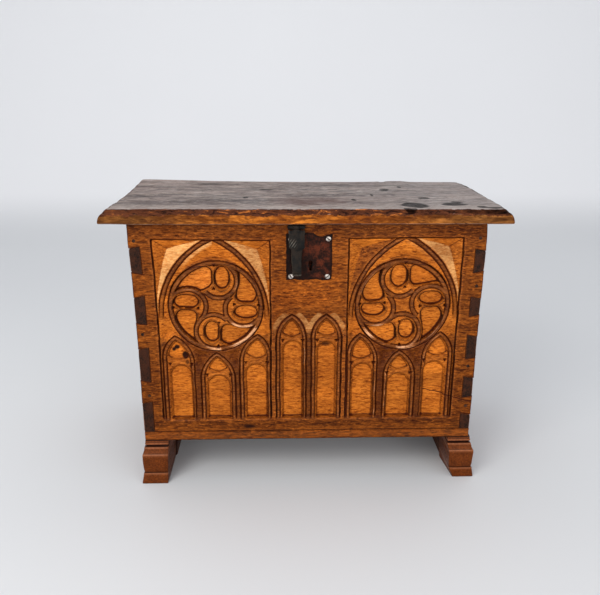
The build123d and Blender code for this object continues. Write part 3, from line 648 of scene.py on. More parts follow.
def roundel(x, z, hand, cx, cz, R):
    """Depth inside a wheel of four mouchettes, its height, floor and hole masks."""
    scale = R / 64.7
    wheel = 0 if hand > 0 else 1
    X, Z = (x - cx) * hand / scale, (z - cz) / scale
    radius = np.hypot(X, Z)
    rim = 64.7 - radius
    # curved bars: arcs of circles set round the centre
    orbit, bar_r, last, first = 36.6, 24.3, 83.0, -139
    bar = np.full(x.shape, 1e9)
    for k in range(4):
        end = math.radians(last + 90 * k)
        hx = orbit * math.cos(end) + HEADS[wheel][k][0]
        hz = orbit * math.sin(end) + HEADS[wheel][k][1]
        angle = np.degrees(np.arctan2(Z - hz, X - hx))
        on_arc = (angle - (90 * k + first)) % 360 < last - first
        ex, ez = hx + bar_r * math.cos(end), hz + bar_r * math.sin(end)
        arc = np.where(on_arc, np.abs(np.hypot(X - hx, Z - hz) - bar_r),
                       np.hypot(X - ex, Z - ez))
        bar = np.minimum(bar, arc)
    ring = np.abs(rim - 3.6)
    # hollow band next to the bars
    near = np.minimum(bar - 2.3, ring - 2.7)
    H = -2.1 - 0.9 * ease(0.8, 7.0, near)
    H = np.where(radius < 13.5, np.minimum(H, -2.6 - 0.5 * ease(13, 4, radius)), H)
    floor, hole = np.zeros(x.shape), np.zeros(x.shape)
    for k in range(4):
        c, s = math.cos(-math.pi / 2 * k), math.sin(-math.pi / 2 * k)
        a, b = X * c - Z * s, X * s + Z * c
        within = (radius < 66) & (b > -30)
        b = b / (1 if k == 0 else 0.985)
        ox, oz, wx, wz = OVALS[wheel][k]
        q = (np.abs((a - ox) / wx) ** 2.2 + np.abs((b - oz) / wz) ** 2.2) ** (1 / 2.2)
        small = (1 - q) * (wx + wz) / 2 * 0.9
        shift_x, shift_z = LOBE_SHIFT[wheel][k]
        long = polygon_depth(a - shift_x, b - shift_z,
                             LOBE_OPEN if wheel == 0 and k == 0 else LOBE)
        # dark lines along the lobes: patina and painted shade, heavier on one side of each lobe
        side = 0.62 + 0.3 * ease(0.5, -0.5, a / 20)
        for lobe in (small, long):
            lobe = np.where(within, lobe, -9)
            cut = -2.2 - 5.8 * unit((lobe + 1.5) / 1.7) ** 0.7
            H = np.where(lobe > -1.5, np.minimum(H, cut), H)
            lip = -1.75 - 0.6 * unit(np.abs(lobe + 2.5) / 1.1) ** 2
            H = np.where((lobe > -3.6) & (lobe <= -1.5), np.maximum(H, lip), H)
            floor = np.maximum(floor, ease(-0.4, 0.8, lobe))
            hole = np.maximum(hole, side * bell(lobe + 0.2, 0.85) * ease(2.6, 3.6, bar))
        # small triangles at the cusp ends, darkened with painted shade
        for tx, tz, size, up in ((-1.4, 59.4, 3.6, -1), (-2.6, 25.0, 2.8, 1)):
            nick = np.where(within, triangle(a, b, tx, tz, size, up), -9)
            H = np.minimum(H, np.where(nick > -0.7, -2.2 - 4.6 * unit((nick + 0.7) / 1.2), 0))
            hole = np.maximum(hole, ease(-0.5, 0.4, nick))
    band = 0.72 * ease(0.6, 1.6, near) * (0.5 + 0.5 * ease(11, 17, radius))
    floor = np.maximum(floor, band) * ease(0.2, 1.0, near)
    # bars and ring, rounded on top with a dark quirk on each side
    H = np.where(bar < 2.5, -0.5 - 1.5 * (bar / 2.5) ** 2.2, H)
    H = np.minimum(H, groove(bar, at=3.1, half_width=0.95, depth=4.0) - 0.9)
    ring_top = np.maximum(np.where(bar < 2.5, H, -9), -0.5 - 1.4 * (ring / 2.8) ** 2.2)
    H = np.where(ring < 2.8, ring_top, H)
    quirk = groove(ring, at=3.3, half_width=0.95, depth=3.8) - 0.9
    H = np.where((ring > 2.6) & (bar > 2.4), np.minimum(H, quirk), H)
    H = np.minimum(H, groove(rim, at=0.5, half_width=1.1, depth=4.2) - 0.2)
    return rim * scale, H, floor, hole


# Layers of a carved part: height, and the masks floor, pale, hole and ground
def overlay(mask, new, old):
    return [np.where(mask, a, b) for a, b in zip(new, old)]


def overlay_lancets(layers, lancets, floor_strength):
    for d, H, floor, hole in lancets:
        layers = overlay(d > 0, (H, floor * floor_strength, 0, hole, 0), layers)
    return layers


def store(face, w, z, layers):
    """Puts layers on the face where w holds, rising to the sill. Returns the height."""
    H, floor, pale, hole, ground = layers
    sill = unit((z - SILL_Z) / 3.4)
    face.height[w] = face.height[w] * 0.5 + H * sill
    face.floor[w] = floor * ease(0.5, 1, sill)
    face.pale[w], face.hole[w], face.ground[w] = pale, hole, ground
    return H * sill


def nearest_two(depths):
    """Distances to the nearest edge and across to the next one."""
    dist = np.sort(np.array(depths), 0)
    return dist[0], dist[0] + dist[1]


def carve_panel(face, x, z, arch, wheel):
    """Large pointed arch with a wheel over three lancets."""
    apex_x, half, spring, radius, left, right, top_left, top_right = arch
    hand, cx, cz, _ = wheel
    on_left = left < 0
    # paleness of the facets left and right of the apex, and under the apex
    pale_left, pale_right, pale_tip = (0.86, 0.60, 0.75) if on_left else (0.0, 0.66, 0.12)
    top = top_left + (top_right - top_left) * (x - left) / (right - left)
    w = (x > left) & (x < right) & (z > SILL_Z) & (z < top)
    x, z = x[w], z[w]
    depth = arch_depth(np.abs(x - apex_x), z, half, spring, radius)
    side, down = np.minimum(x - left, right - x), top[w] - z
    lancets = [lancet(x, z, sizes) for sizes in (LANCETS[:3] if on_left else LANCETS[5:])]
    in_wheel, wheel_H, wheel_floor, wheel_hole = roundel(x, z, *wheel)
    off_lancet = np.min([-part[0] for part in lancets], 0)
    # spandrel facets outside the arch
    spandrel = np.minimum(np.minimum(down, side * 0.74), -depth * 0.74)
    outer = -0.5 - 0.50 * spandrel
    # under the apex, between arch and wheel
    tip = np.minimum(np.minimum((depth - 7.0) * 0.46, -in_wheel * 1.7), side)
    off = np.maximum(off_lancet, 0)
    high_H = np.where(depth < 0, outer, -0.9 - 0.42 * np.minimum(tip, off * 1.2 + 0.8))
    # ground round the lancets
    low = z < 236
    pit = np.minimum(np.minimum(side * 0.9, off), np.maximum(-in_wheel, 0))
    low_H = -0.8 - 0.62 * pit
    ground_H = np.where(low, low_H, high_H)
    t = ease(228, 240, z)
    joined = low_H * (1 - t) + np.where(depth < 0, outer, -0.9 - 0.42 * np.minimum(tip, 8)) * t
    ground_H = np.where((z > 224) & (z < 244), joined, ground_H)
    # mullion bars between neighbours
    first, gap = nearest_two([-part[0] for part in lancets] + [side])
    bar = -0.7 - 0.9 * (np.abs(first - gap / 2) / np.maximum(gap / 2, 0.5)) ** 2
    t = ease(12, 8, gap)
    ground_H = np.where(gap < 14, bar * t + ground_H * (1 - t), ground_H)
    ground_H = np.maximum(ground_H, -7.0)
    # raised arch band with a roll and quirks
    band = (depth > 0) & (depth < 7.4) & (z > 232)
    fade = ease(244, 262, z)
    band_H = -0.4 - 1.2 * (np.abs(depth - 3.9) / 2.9) ** 2.4
    band_H = np.minimum(band_H, groove(depth, at=0.9, half_width=1.15, depth=3.6) - 0.2)
    band_H = np.minimum(band_H, groove(depth, at=6.6, half_width=1.0, depth=3.4) - 0.4)
    H = np.where(band, band_H * fade + ground_H * (1 - fade), ground_H)
    # spandrel facets: the one along the arch is pale
    above = (depth < 0) & (z > 262)
    bright = above & (-depth * 0.74 <= spandrel + 1e-6) & (-depth > 0.6)
    dim = above & ~bright
    # dark lines along the creases between the facets: painted shade
    crease = np.where(dim & (z > 300), 1.1 * bell(np.abs(down - side * 0.74), 0.55), 0)
    ridge = np.abs(np.minimum(down, side * 0.74) + depth * 0.74)
    crease = np.maximum(crease, np.where(above & (z > 285), 0.5 * bell(ridge, 0.6), 0))
    pale = np.where(x < apex_x, pale_left, pale_right) * ease(0.3, 1.4, -depth)
    pale = np.where(bright, pale, 0)
    under = (depth > 7.6) & (in_wheel < -1.5) & (z > 300)
    floor = np.where(dim, np.where(down < side * 0.74, 0.8, 0.5), 0.0)
    by_arch = (depth - 7.0) * 0.46 < -in_wheel * 1.7
    floor = np.where(under, np.where(by_arch, 0.95, 0.2), floor)
    floor = np.where((depth < 0) & (z < 262), 0.6, floor)
    flank = (in_wheel < -0.5) & (np.abs(x - cx) > 50) & (z > 218) & (z < 285)
    floor = np.where(flank & (off_lancet > 0.3), np.maximum(floor, 0.75), floor)
    outward = (x < apex_x) if on_left else (x > apex_x)
    glow = pale_tip * ease(6.5, 3.0, depth - 7.0) * ease(318, 345, z)
    pale = np.maximum(pale, np.where(under & outward, glow, 0))
    ground = low & (in_wheel < 0) & (off_lancet > 0.5) & (np.abs(x - cx) < 52)
    ground = np.where(ground, 1.0, 0.0) * ease(5, 9, gap)
    layers = overlay(in_wheel > 0, (wheel_H, wheel_floor, 0, wheel_hole, 0),
                     (H, floor, pale, crease, ground))
    layers = overlay_lancets(layers, lancets, floor_strength=0.86)
    # outline cut of the panel
    edge = np.minimum(side, down)
    cut = groove(edge, at=0.9, half_width=1.3, depth=4.6) - 0.1 * (edge < 2)
    layers[0] = np.minimum(layers[0], cut)
    floor = layers[1]
    H = store(face, w, z, layers)
    # darker bars and bands
    bars = (in_wheel > 0) & (H > -2.05)
    band = band & (in_wheel <= 0)
    tone = np.where(band, -0.50 * fade, 0.0) + np.where(bars, -0.56, 0.0)
    tone = np.where((off_lancet < 0) & (floor < 0.1), -0.42, tone)
    tone = np.where((gap < 13) & (off_lancet > 0) & low, -0.46, tone)
    face.tone[w] += tone
    # painted highlights on the crests, strongest low in the wheel
    low_part = ease(-14, -46, z - cz) * ease(-34, 4, (x - cx) * hand)
    crest_highlight = bell(H + 0.75, 0.35) * (0.3 + (1.6 if on_left else 0.75) * low_part)
    crest_highlight = np.where(bars, crest_highlight, 0.0)
    crest_highlight = np.where(band, 0.35 * bell(depth - 3.4, 0.8) * fade, crest_highlight)
    face.crest[w] = np.where(off_lancet < 0, 0.4 * bell(-off_lancet - 3.3, 0.7), crest_highlight)
    if on_left:
        light = ease(1.15, 0.7, oval(x, z, cx - 27, cz + 38, 33, 20)) * floor * (in_wheel > 0)
        face.tone[w] += 0.34 * light
        face.pale[w] = np.maximum(face.pale[w], 0.10 * light)


def carve_middle(face, x, z):
    """The two middle lancets, which stand in the plain face."""
    w = (np.abs(x) < 49.5) & (z > SILL_Z) & (z < 270)
    x, z = x[w], z[w]
    left, right = LANCETS[3:5]
    lancets = [lancet(x, z, sizes) for sizes in (left, right)]
    off = np.min([-part[0] for part in lancets], 0)
    first, gap = nearest_two([-part[0] for part in lancets])
    # facets sunk beside the heads, narrowing to the apexes
    from_apex = np.minimum(np.abs(x - left[2]), np.abs(x - right[2]))
    width = 8.5 * ease(1.0, 13.0, from_apex)
    facet = ease(222, 236, z) * (off > 0) * (off < width)
    H = np.where(facet > 0, -(width - off) * 0.42 * facet, 0)
    between = (x > -23.6) & (x < 24) & (off > 0)
    bar = -0.8 - 1.0 * (np.abs(first - gap / 2) / np.maximum(gap / 2, 0.5)) ** 2
    t = ease(16, 9, gap)
    H = np.where(between & (gap < 16), bar * t + H * (1 - t), H)
    pale = (facet * ease(0.4, 1.6, off) * ease(0.0, 1.2, width - off)
            * np.where(np.abs(x - 0.2) < 24, 0.58, 0.36) * np.where(z > 236, 1, 0.4))
    layers = overlay_lancets([H, 0, pale, 0, 0], lancets, floor_strength=0.74)
    store(face, w, z, layers)
    bars = np.where(between & (z < 232), -0.55, 0.0)
    face.tone[w] += np.where((off < 0) & (layers[1] < 0.1), -0.42, bars)
    # painted highlights on the crests of the lancet mouldings
    face.crest[w] = np.where(off < 0, 0.4 * bell(-off - 3.3, 0.7), 0.0)


# dark spots: x, z, half axes, strength, scaled distance where it starts and is full
FACE_SPOTS = [(-84, 88, 13, 4.6, 0.75, 1.15, 0.2), (24, 212.5, 9, 4.5, 0.9, 1.2, 0.3),
              (-171.5, 197.5, 5.0, 6.0, 1.6, 1.2, 0.5), (-182.6, 209.2, 4.0, 3.4, 1.5, 1.2, 0.5),
              (-187.0, 206.0, 2.8, 3.0, 1.3, 1.2, 0.5), (-169, 188, 2.8, 4, 0.8, 1.2, 0.5)]
# recess behind the lock plate
MORTISE_U, MORTISE_V, MORTISE_DEPTH = 27.5, (316.5, 353.5), 13.2


def carve(u, v):
    """Height (0 at the face) and masks over the front."""
    x = u + 0.42 * noise(u, v, 23, 23, 11) + 0.22 * noise(u, v, 8, 8, 12)
    z = v + 0.42 * noise(u, v, 23, 23, 13) + 0.22 * noise(u, v, 8, 8, 14)
    face = SimpleNamespace(
        height=0.16 * noise(u, v, 46, 17, 21) + 0.07 * noise(u, v, 14, 5, 22) - 0.1,
        tone=0.14 * noise(u, v, 60, 26, 23) + 0.08 * noise(u, v, 18, 9, 24),
        **{k: np.zeros(u.shape) for k in ("floor", "pale", "hole", "ground", "crest")})
    for arch, wheel in zip(ARCHES, WHEELS):
        carve_panel(face, x, z, arch, wheel)
    carve_middle(face, x, z)
    # the painted crest highlights come and go along the mouldings
    face.crest *= unit(0.45 + 0.75 * noise(u, v, 16, 12, 27) + 0.3 * noise(u, v, 4, 4, 28))
    # hand tooling on the sunk floors
    tooling = 0.16 * noise(u, v, 9, 2.2, 31) + 0.08 * noise(u, v, 3.5, 1.3, 32)
    face.height += face.floor * tooling
    face.height += face.pale * 0.10 * noise(u, v, 6, 6, 33)
    for cx, cz, rx, rz, strength, start, full in FACE_SPOTS:
        face.tone -= strength * ease(start, full, oval(u, v, cx, cz, rx, rz))
    # crack at the right
    off = np.abs(v - (142 - (u - 165) * 0.26 + 0.7 * noise(u, v, 7, 90, 41)))
    cracked = (u > 163) & (u < HALF_W)
    face.height -= np.where(cracked & (off < 0.8), 1.3 * (1 - off / 0.8), 0)
    face.crack = np.where(cracked, ease(1.1, 0.2, off), 0)
    # the middle of the upper face is brighter; rails, rim and stiles are darker
    face.tone += 0.26 * ease(60, 15, np.abs(u)) * ease(262, 275, v) * ease(340, 300, v)
    face.tone -= 0.14 * ease(99, 95, v)
    # the top rail is darker, and the strip right under the lid carries a painted shadow of the lid
    face.tone -= 0.20 * ease(362, 370, v) + 0.45 * ease(379.5, 383.5, v)
    face.tone -= 0.16 * ease(205, 209, np.abs(u))
    face.tone -= 0.06 * ease(100, 97, v) + 0.10 * ease(100, 97, v) * ease(-20, 40, u)
    mortise = (np.abs(u) < MORTISE_U) & (v > MORTISE_V[0]) & (v < MORTISE_V[1])
    face.height = np.where(mortise, -MORTISE_DEPTH, face.height)
    return face


def pad(values, count, fill=0.0):
    return np.concatenate([values, np.full(count - len(values), fill)])


TAILS_LEFT, TAILS_RIGHT = tails(PINS_LEFT), tails(PINS_RIGHT)
FACE_U0 = HALF_W - SIDE_T


def build_front():
    step = 0.72
    outline = board_outline(TAILS_LEFT, TAILS_RIGHT, FACE_U0, HALF_W)

    def surface(u, v):
        face = carve(u, v)
        drop, face.from_edge = edge_drop(u, v, outline, r=1.0)
        return face.height + drop, face

    m, (low, high) = MORTISE_U, MORTISE_V
    front = board(FACE_U0, HALF_W, TAILS_LEFT, TAILS_RIGHT, step, surface, FACE_T,
                  lambda u, v, depth: np.stack([u, FACE_Y + depth, v], 1),
                  must_u=(-m, -m + 0.1, m - 0.1, m), must_v=(low, low + 0.1, high - 0.1, high))
    V, idx, face = front.points, front.index, front.masks
    count = len(V)
    # soften the face, but neither the mortise nor the outer ring, where walls meet it
    grid_y = V[idx, 1]
    mortise = (np.abs(front.ul) <= m)[:, None] & ((front.vl >= low) & (front.vl <= high))[None]
    V[idx, 1] = np.where(mortise, grid_y, blur(grid_y))
    for ring in (idx[0], idx[-1], idx[:, 0], idx[:, -1]):
        V[ring, 1] = grid_y.ravel()[ring]
    # hollows and edges from the height against its blurs: hollows darken with patina and painted
    # shade, raised edges lighten with wear
    height = -(V[idx, 1] - FACE_Y)
    filled = np.where(mortise, 0, height)
    close = box_blur(filled, max(1, int(round(0.8 / step))))
    wide = box_blur(filled, max(1, int(round(1.7 / step))))
    widest = box_blur(filled, int(round(5.0 / step)))
    cav, edge = np.zeros(count), np.zeros(count)
    cav[idx] = (unit((close - height - 0.08) / 0.75) * 0.85
                + unit((wide - height - 0.1) / 1.5) * 0.75
                + unit((widest - height) / 6.0) * 0.22)
    edge[idx] = unit((height - wide) / 1.1)
    floor, pale, hole, ground, tone, crack, crest = (
        pad(getattr(face, k), count)
        for k in ("floor", "pale", "hole", "ground", "tone", "crack", "crest"))
    rim = pad(ease(2.2, 0.2, face.from_edge), count, 1.0)
    cav = unit(np.maximum.reduce([cav * (1 - 0.25 * floor) * (1 - 0.4 * pale), hole * 0.6,
                                  crack * 0.9, ground * 0.40, rim * 0.55 * front.on_face]))
    # painted shade behind the keyhole
    cav = np.maximum(cav, ease(6.0, 4.5, oval(V[:, 0], V[:, 2], 1.2, 327.0, 1.0, 2.0)))
    # edge: worn raised edges plus the painted crest highlights
    masks = dict(cav=cav, edge=unit(edge * (1 - floor) * 0.38 + crest), floor=unit(floor),
                 pale=unit(pale), tone=np.clip(tone, -1, 1))
    make("front_carving", lean(V), front.faces, "carcase", CARVED, masks,
         "front_board", angle=60)


build_front()


# ================================================================ back and side boards
def plain_board(name, material, replaced, seed, u0, u1, tabs_left, tabs_right, step, thickness,
                place, inner=None):
    outline = board_outline(tabs_left, tabs_right, u0, u1)

    def surface(u, v):
        drop, d = edge_drop(u, v, outline, r=1.1)
        return drop + 0.22 * noise(u, v, 60, 22, seed) + 0.08 * noise(u, v, 16, 6, seed + 1), d

    b = board(u0, u1, tabs_left, tabs_right, step, surface, thickness, place, inner)
    rim = pad(ease(2.4, 0.2, b.masks), len(b.points), 1.0)
    masks = dict(cav=rim * 0.35 * b.on_face, edge=rim * 0.25, floor=0, pale=0,
                 tone=0.12 * noise(b.u, b.v, 70, 30, seed + 5) - 0.1)
    make(name, lean(b.points), b.faces, "carcase", material, masks, replaced)


# the back is seen from behind, so its left end is the coffer's right
plain_board("back_panel", BACK, "back_board", 61, FACE_U0, HALF_W, TAILS_RIGHT, TAILS_LEFT,
            step=2.4, thickness=FACE_T,
            place=lambda u, v, depth: np.stack([-u, HALF_D - depth, v], 1))


def build_side(side, name, pins):
    u0 = HALF_D - FACE_T
    tabs = []
    for low, high in pins:
        low = low + FLARE if low > BOARD_Z0 + 1 else low
        tabs.append((low, high - FLARE, low, high - FLARE))

    def inner(u, v):
        """Pins are taller on the inner face."""
        out = v.copy()
        at_pin = np.abs(u) >= u0 - 1e-6
        for low, high, _, _ in tabs:
            out = np.where(at_pin & (np.abs(v - high) < 0.02), v + 2 * FLARE, out)
            if low > BOARD_Z0 + 1:
                out = np.where(at_pin & (np.abs(v - low) < 0.02), v - 2 * FLARE, out)
        return out

    plain_board(f"{name}_side_panel", BOARD, f"{name}_side_board", 71 + side, u0, HALF_D, tabs,
                tabs, step=2.2, thickness=SIDE_T, inner=inner,
                place=lambda u, v, depth: np.stack([side * (HALF_W - depth), u, v], 1))


build_side(-1, "left", PINS_LEFT)
build_side(1, "right", PINS_RIGHT)


# ================================================================ slabs: lid and bottom board
def slab(box, top_r, low_r, step, top, bottom, wave_top, wave_low, rim_lines,
         must_x=(), must_y=(), rows=5, low_in=0.8, lip=1.1):
    """Level board as one closed mesh: top grid, bottom grid and walls.
    top_r, low_r: corner radii (front, back) of the upper and lower outlines. The waves move
    the outlines, fading inwards. Returns points, faces, kind (0 top, 1 wall, 2 bottom),
    distance from the outline and fraction down the wall."""
    x0, x1, y0, y1, z0, z1 = box
    xs = grid_lines(x0, x1, step,
                    list(must_x) + [x0 + f for f in rim_lines] + [x1 - f for f in rim_lines])
    ys = grid_lines(y0, y1, step,
                    list(must_y) + [y0 + f for f in rim_lines] + [y1 - f for f in rim_lines])
    cx, cy, hx, hy = (x0 + x1) / 2, (y0 + y1) / 2, (x1 - x0) / 2, (y1 - y0) / 2
    n = len(xs) * len(ys)
    F = grid_quads(np.arange(n).reshape(len(xs), len(ys)))
    loop = outlines(F, n)[0]
    border = np.zeros(n, bool)
    border[loop] = True

    def grid(radii, wave):
        """Grid with rounded corners, distance in from its outline, outward normals."""
        X, Y = [a.ravel() for a in np.meshgrid(xs, ys, indexing="ij")]
        r = np.where(Y < cy, radii[0], radii[1])
        a = (np.abs(X - cx) - (hx - r)) / r
        b = (np.abs(Y - cy) - (hy - r)) / r
        corner = (a > 0) & (b > 0)
        a, b = (np.where(corner, a * np.sqrt(unit(1 - b * b / 2)), a),
                np.where(corner, b * np.sqrt(unit(1 - a * a / 2)), b))
        X = cx + np.sign(X - cx) * (hx - r + a * r)
        Y = cy + np.sign(Y - cy) * (hy - r + b * r)
        qx = np.maximum(np.abs(X - cx) - (hx - r), 0)
        qy = np.maximum(np.abs(Y - cy) - (hy - r), 0)
        length = np.maximum(np.hypot(qx, qy), 1e-9)
        wx, wy = wave(X, Y)
        ex = unit(1 - (hx - np.abs(X - cx)) / 30)
        ey = unit(1 - (hy - np.abs(Y - cy)) / 30)
        return (X + wx * ex, Y + wy * ey, r - np.hypot(qx, qy),
                np.sign(X - cx) * qx / length, np.sign(Y - cy) * qy / length)

    X, Y, d, _, _ = grid(top_r, wave_top)
    low_x, low_y, _, nx, ny = grid(low_r, wave_low)
    top_z, low_z = z1 + top(X, Y, d), z0 + bottom(low_x, low_y)
    out_x, out_y = low_x[loop], low_y[loop]
    Vx, Vy = [X, low_x - nx * low_in * border], [Y, low_y - ny * low_in * border]
    Vz, kind, down = [top_z, low_z], [np.zeros(n), np.full(n, 2.0)], [np.zeros(2 * n)]
    faces = F.tolist() + (F[:, ::-1] + n).tolist()
    prev, count = loop, 2 * n
    for r in range(1, rows):
        t = r / (rows - 1)
        k = math.sin(t * math.pi / 2) ** 0.66
        Vx.append(X[loop] * (1 - k) + out_x * k)
        Vy.append(Y[loop] * (1 - k) + out_y * k)
        Vz.append(top_z[loop] * (1 - t) + (low_z[loop] + lip) * t)
        kind.append(np.ones(len(loop)))
        down.append(np.full(len(loop), t))
        cur = count + np.arange(len(loop))
        count += len(loop)
        faces += ring_wall(prev, cur)
        prev = cur
    faces += ring_wall(prev, loop + n)
    V = np.stack([np.concatenate(c) for c in (Vx, Vy, Vz)], 1)
    return V, faces, np.concatenate(kind), pad(np.tile(d, 2), count), np.concatenate(down)


# ---- lid
LID_X0, LID_X1, LID_Y0, LID_Y1, LID_Z0, LID_Z1 = -272.0, 266.0, -147.0, HALF_D, 384.5, 403.5
# rise of the rear edge along x: (x, mm)
LID_WARP = ([-272, -255, -200, -150, -100, -50, 0, 87, 120, 150, 165, 182, 200, 262],
            [2.3, 2.2, 0.9, -0.4, -1.2, -1.9, -2.2, -2.1, -1.5, -0.5, -0.4, -2.0, -2.1, -2.5])
# shift of the two ends in x along the depth
LID_END_Y = [-147, -126, -106, -76, -36, 4, 34, 64, 94, 136]
LID_END_LEFT = [1.6, 4.0, 4.0, 4.5, 4.6, 4.1, 2.9, 1.5, 0.0, -2.4]
LID_END_RIGHT = [-3.2, -4.4, -3.2, -1.2, -0.6, 1.5, 3.0, 4.3, 4.6, 2.2]
# dark spots: x, y, half axes, strength
LID_SPOTS = [(141, -112, 17, 22, 0.72), (131, -139, 8, 9, 0.95), (197, -103, 17, 11, 0.85),
             (205, -86, 9, 8, 0.5), (230, -124, 7, 8, 0.62), (122, 34, 9, 11, 0.66),
             (168, -52, 9, 8, 0.5), (-88, -41, 3.5, 9, 0.75), (65, -64, 3.5, 9, 0.7),
             (150, 60, 4, 9, 0.4), (-60, 40, 12, 8, 0.35), (-150, 98, 22, 8, 0.45),
             (244, -132, 16, 7, 0.5), (96, -20, 3, 9, 0.5)]
# recesses under the lid, 2 mm deep: at the two hinges, and at the hasp leaf
RECESS = 2.0
HINGE_X, HINGE_HALF, HINGE_Y = 150.0, 18.0, 84.0
LEAF_X, LEAF_Y = (-29.0, -7.0), (-143.5, -92.0)


def lid_ends(y):
    return np.interp(y, LID_END_Y, LID_END_LEFT), np.interp(y, LID_END_Y, LID_END_RIGHT)


def lid_edge(x, y):
    """Distance to the chamfered edges: both ends and the front."""
    r = 12.0
    left, right = lid_ends(y)
    qx = np.maximum(LID_X0 + left - x, x - (LID_X1 + right)) + r
    qy = (LID_Y0 + r) - y
    out = np.hypot(np.maximum(qx, 0), np.maximum(qy, 0)) + np.minimum(np.maximum(qx, qy), 0)
    return np.maximum(r - out, 0)


def chamfer_width(x, y):
    return 6.0 + 1.2 * noise(x, y, 26, 26, 93) + 0.9 * noise(x, y, 8, 8, 94)


def lid_top(x, y, _):
    H = np.interp(x, *LID_WARP) * unit((y - LID_Y0) / (LID_Y1 - LID_Y0)) ** 1.5
    H = H + 0.28 * noise(x, y, 120, 30, 91) + 0.12 * noise(x, y, 40, 6, 92) - 0.2
    e, w = lid_edge(x, y), chamfer_width(x, y)
    ends = ease(0.0, 10.0, -(np.minimum(x + 262, 256 - x)))     # 1 near the ends, 0 inside
    fall = 5.0 + 0.9 * noise(x, y, 34, 34, 95) + 0.5 * noise(x, y, 7, 7, 96) + 1.0 * ends
    s = unit(e / w)
    chips = 0.45 * noise(x, y, 4, 3, 102) + 0.3 * noise(x, y, 1.8, 1.5, 103)
    chamfer = (-fall * (1 - s) ** (1.12 + 0.25 * ends)
               + chips * ease(0, 0.25, s) * ease(1.15, 0.8, s) - 0.5 * bell(e - w, 1.2))
    H = H - 1.6 * ends * unit(1 - e / 15) ** 1.6
    # rear edge: small arris, and a chip near the right hinge
    H = H - 0.45 * arris(unit((LID_Y1 - y) / 0.9))
    H = H - 1.2 * ease(1.0, 0.2, np.abs((x - 134) / 7)) * ease(8, 0, LID_Y1 - y)
    # shallow hollow in the front half, knot on the front arris
    H = H - 0.25 * ease(1.1, 0.2, oval(x, y, 5, -80, 70, 48))
    H = H - 0.9 * ease(1.1, 0.1, oval(x, y, 131, -133, 7, 6))
    return np.where(e < w, H * s + chamfer, H)


def lid_bottom(x, y):
    H = np.zeros(x.shape)
    for hinge in (-HINGE_X, HINGE_X):
        H = np.where((np.abs(x - hinge) <= HINGE_HALF) & (y >= HINGE_Y), RECESS, H)
    H = H + 0.8 * ease(-225, -262, x) * ease(-90, -140, y)
    leaf = (x >= LEAF_X[0]) & (x <= LEAF_X[1]) & (y >= LEAF_Y[0]) & (y <= LEAF_Y[1])
    return np.where(leaf, RECESS, H)


def lid_wave(x, y, ends, ripple):
    return (ends + 0.3 * noise1(y, 14, 98),
            np.where(y < 0, 0.6 * noise1(x, 80, 99) + ripple - 0.1,
                     -0.25 * np.abs(noise1(x, 30, 101))))


def lid_wave_top(x, y):
    return lid_wave(x, y, np.where(x < 0, *lid_ends(y)), 0.35 * noise1(x, 12, 100))


def lid_wave_low(x, y):
    left, right = lid_ends(y)
    ends = np.where(x < 0, np.minimum(left * 0.5 - 3.2, -0.5), np.maximum(right * 0.4 + 3.2, 0.5))
    return lid_wave(x, y, ends, 0.15 * noise1(x, 12, 104))


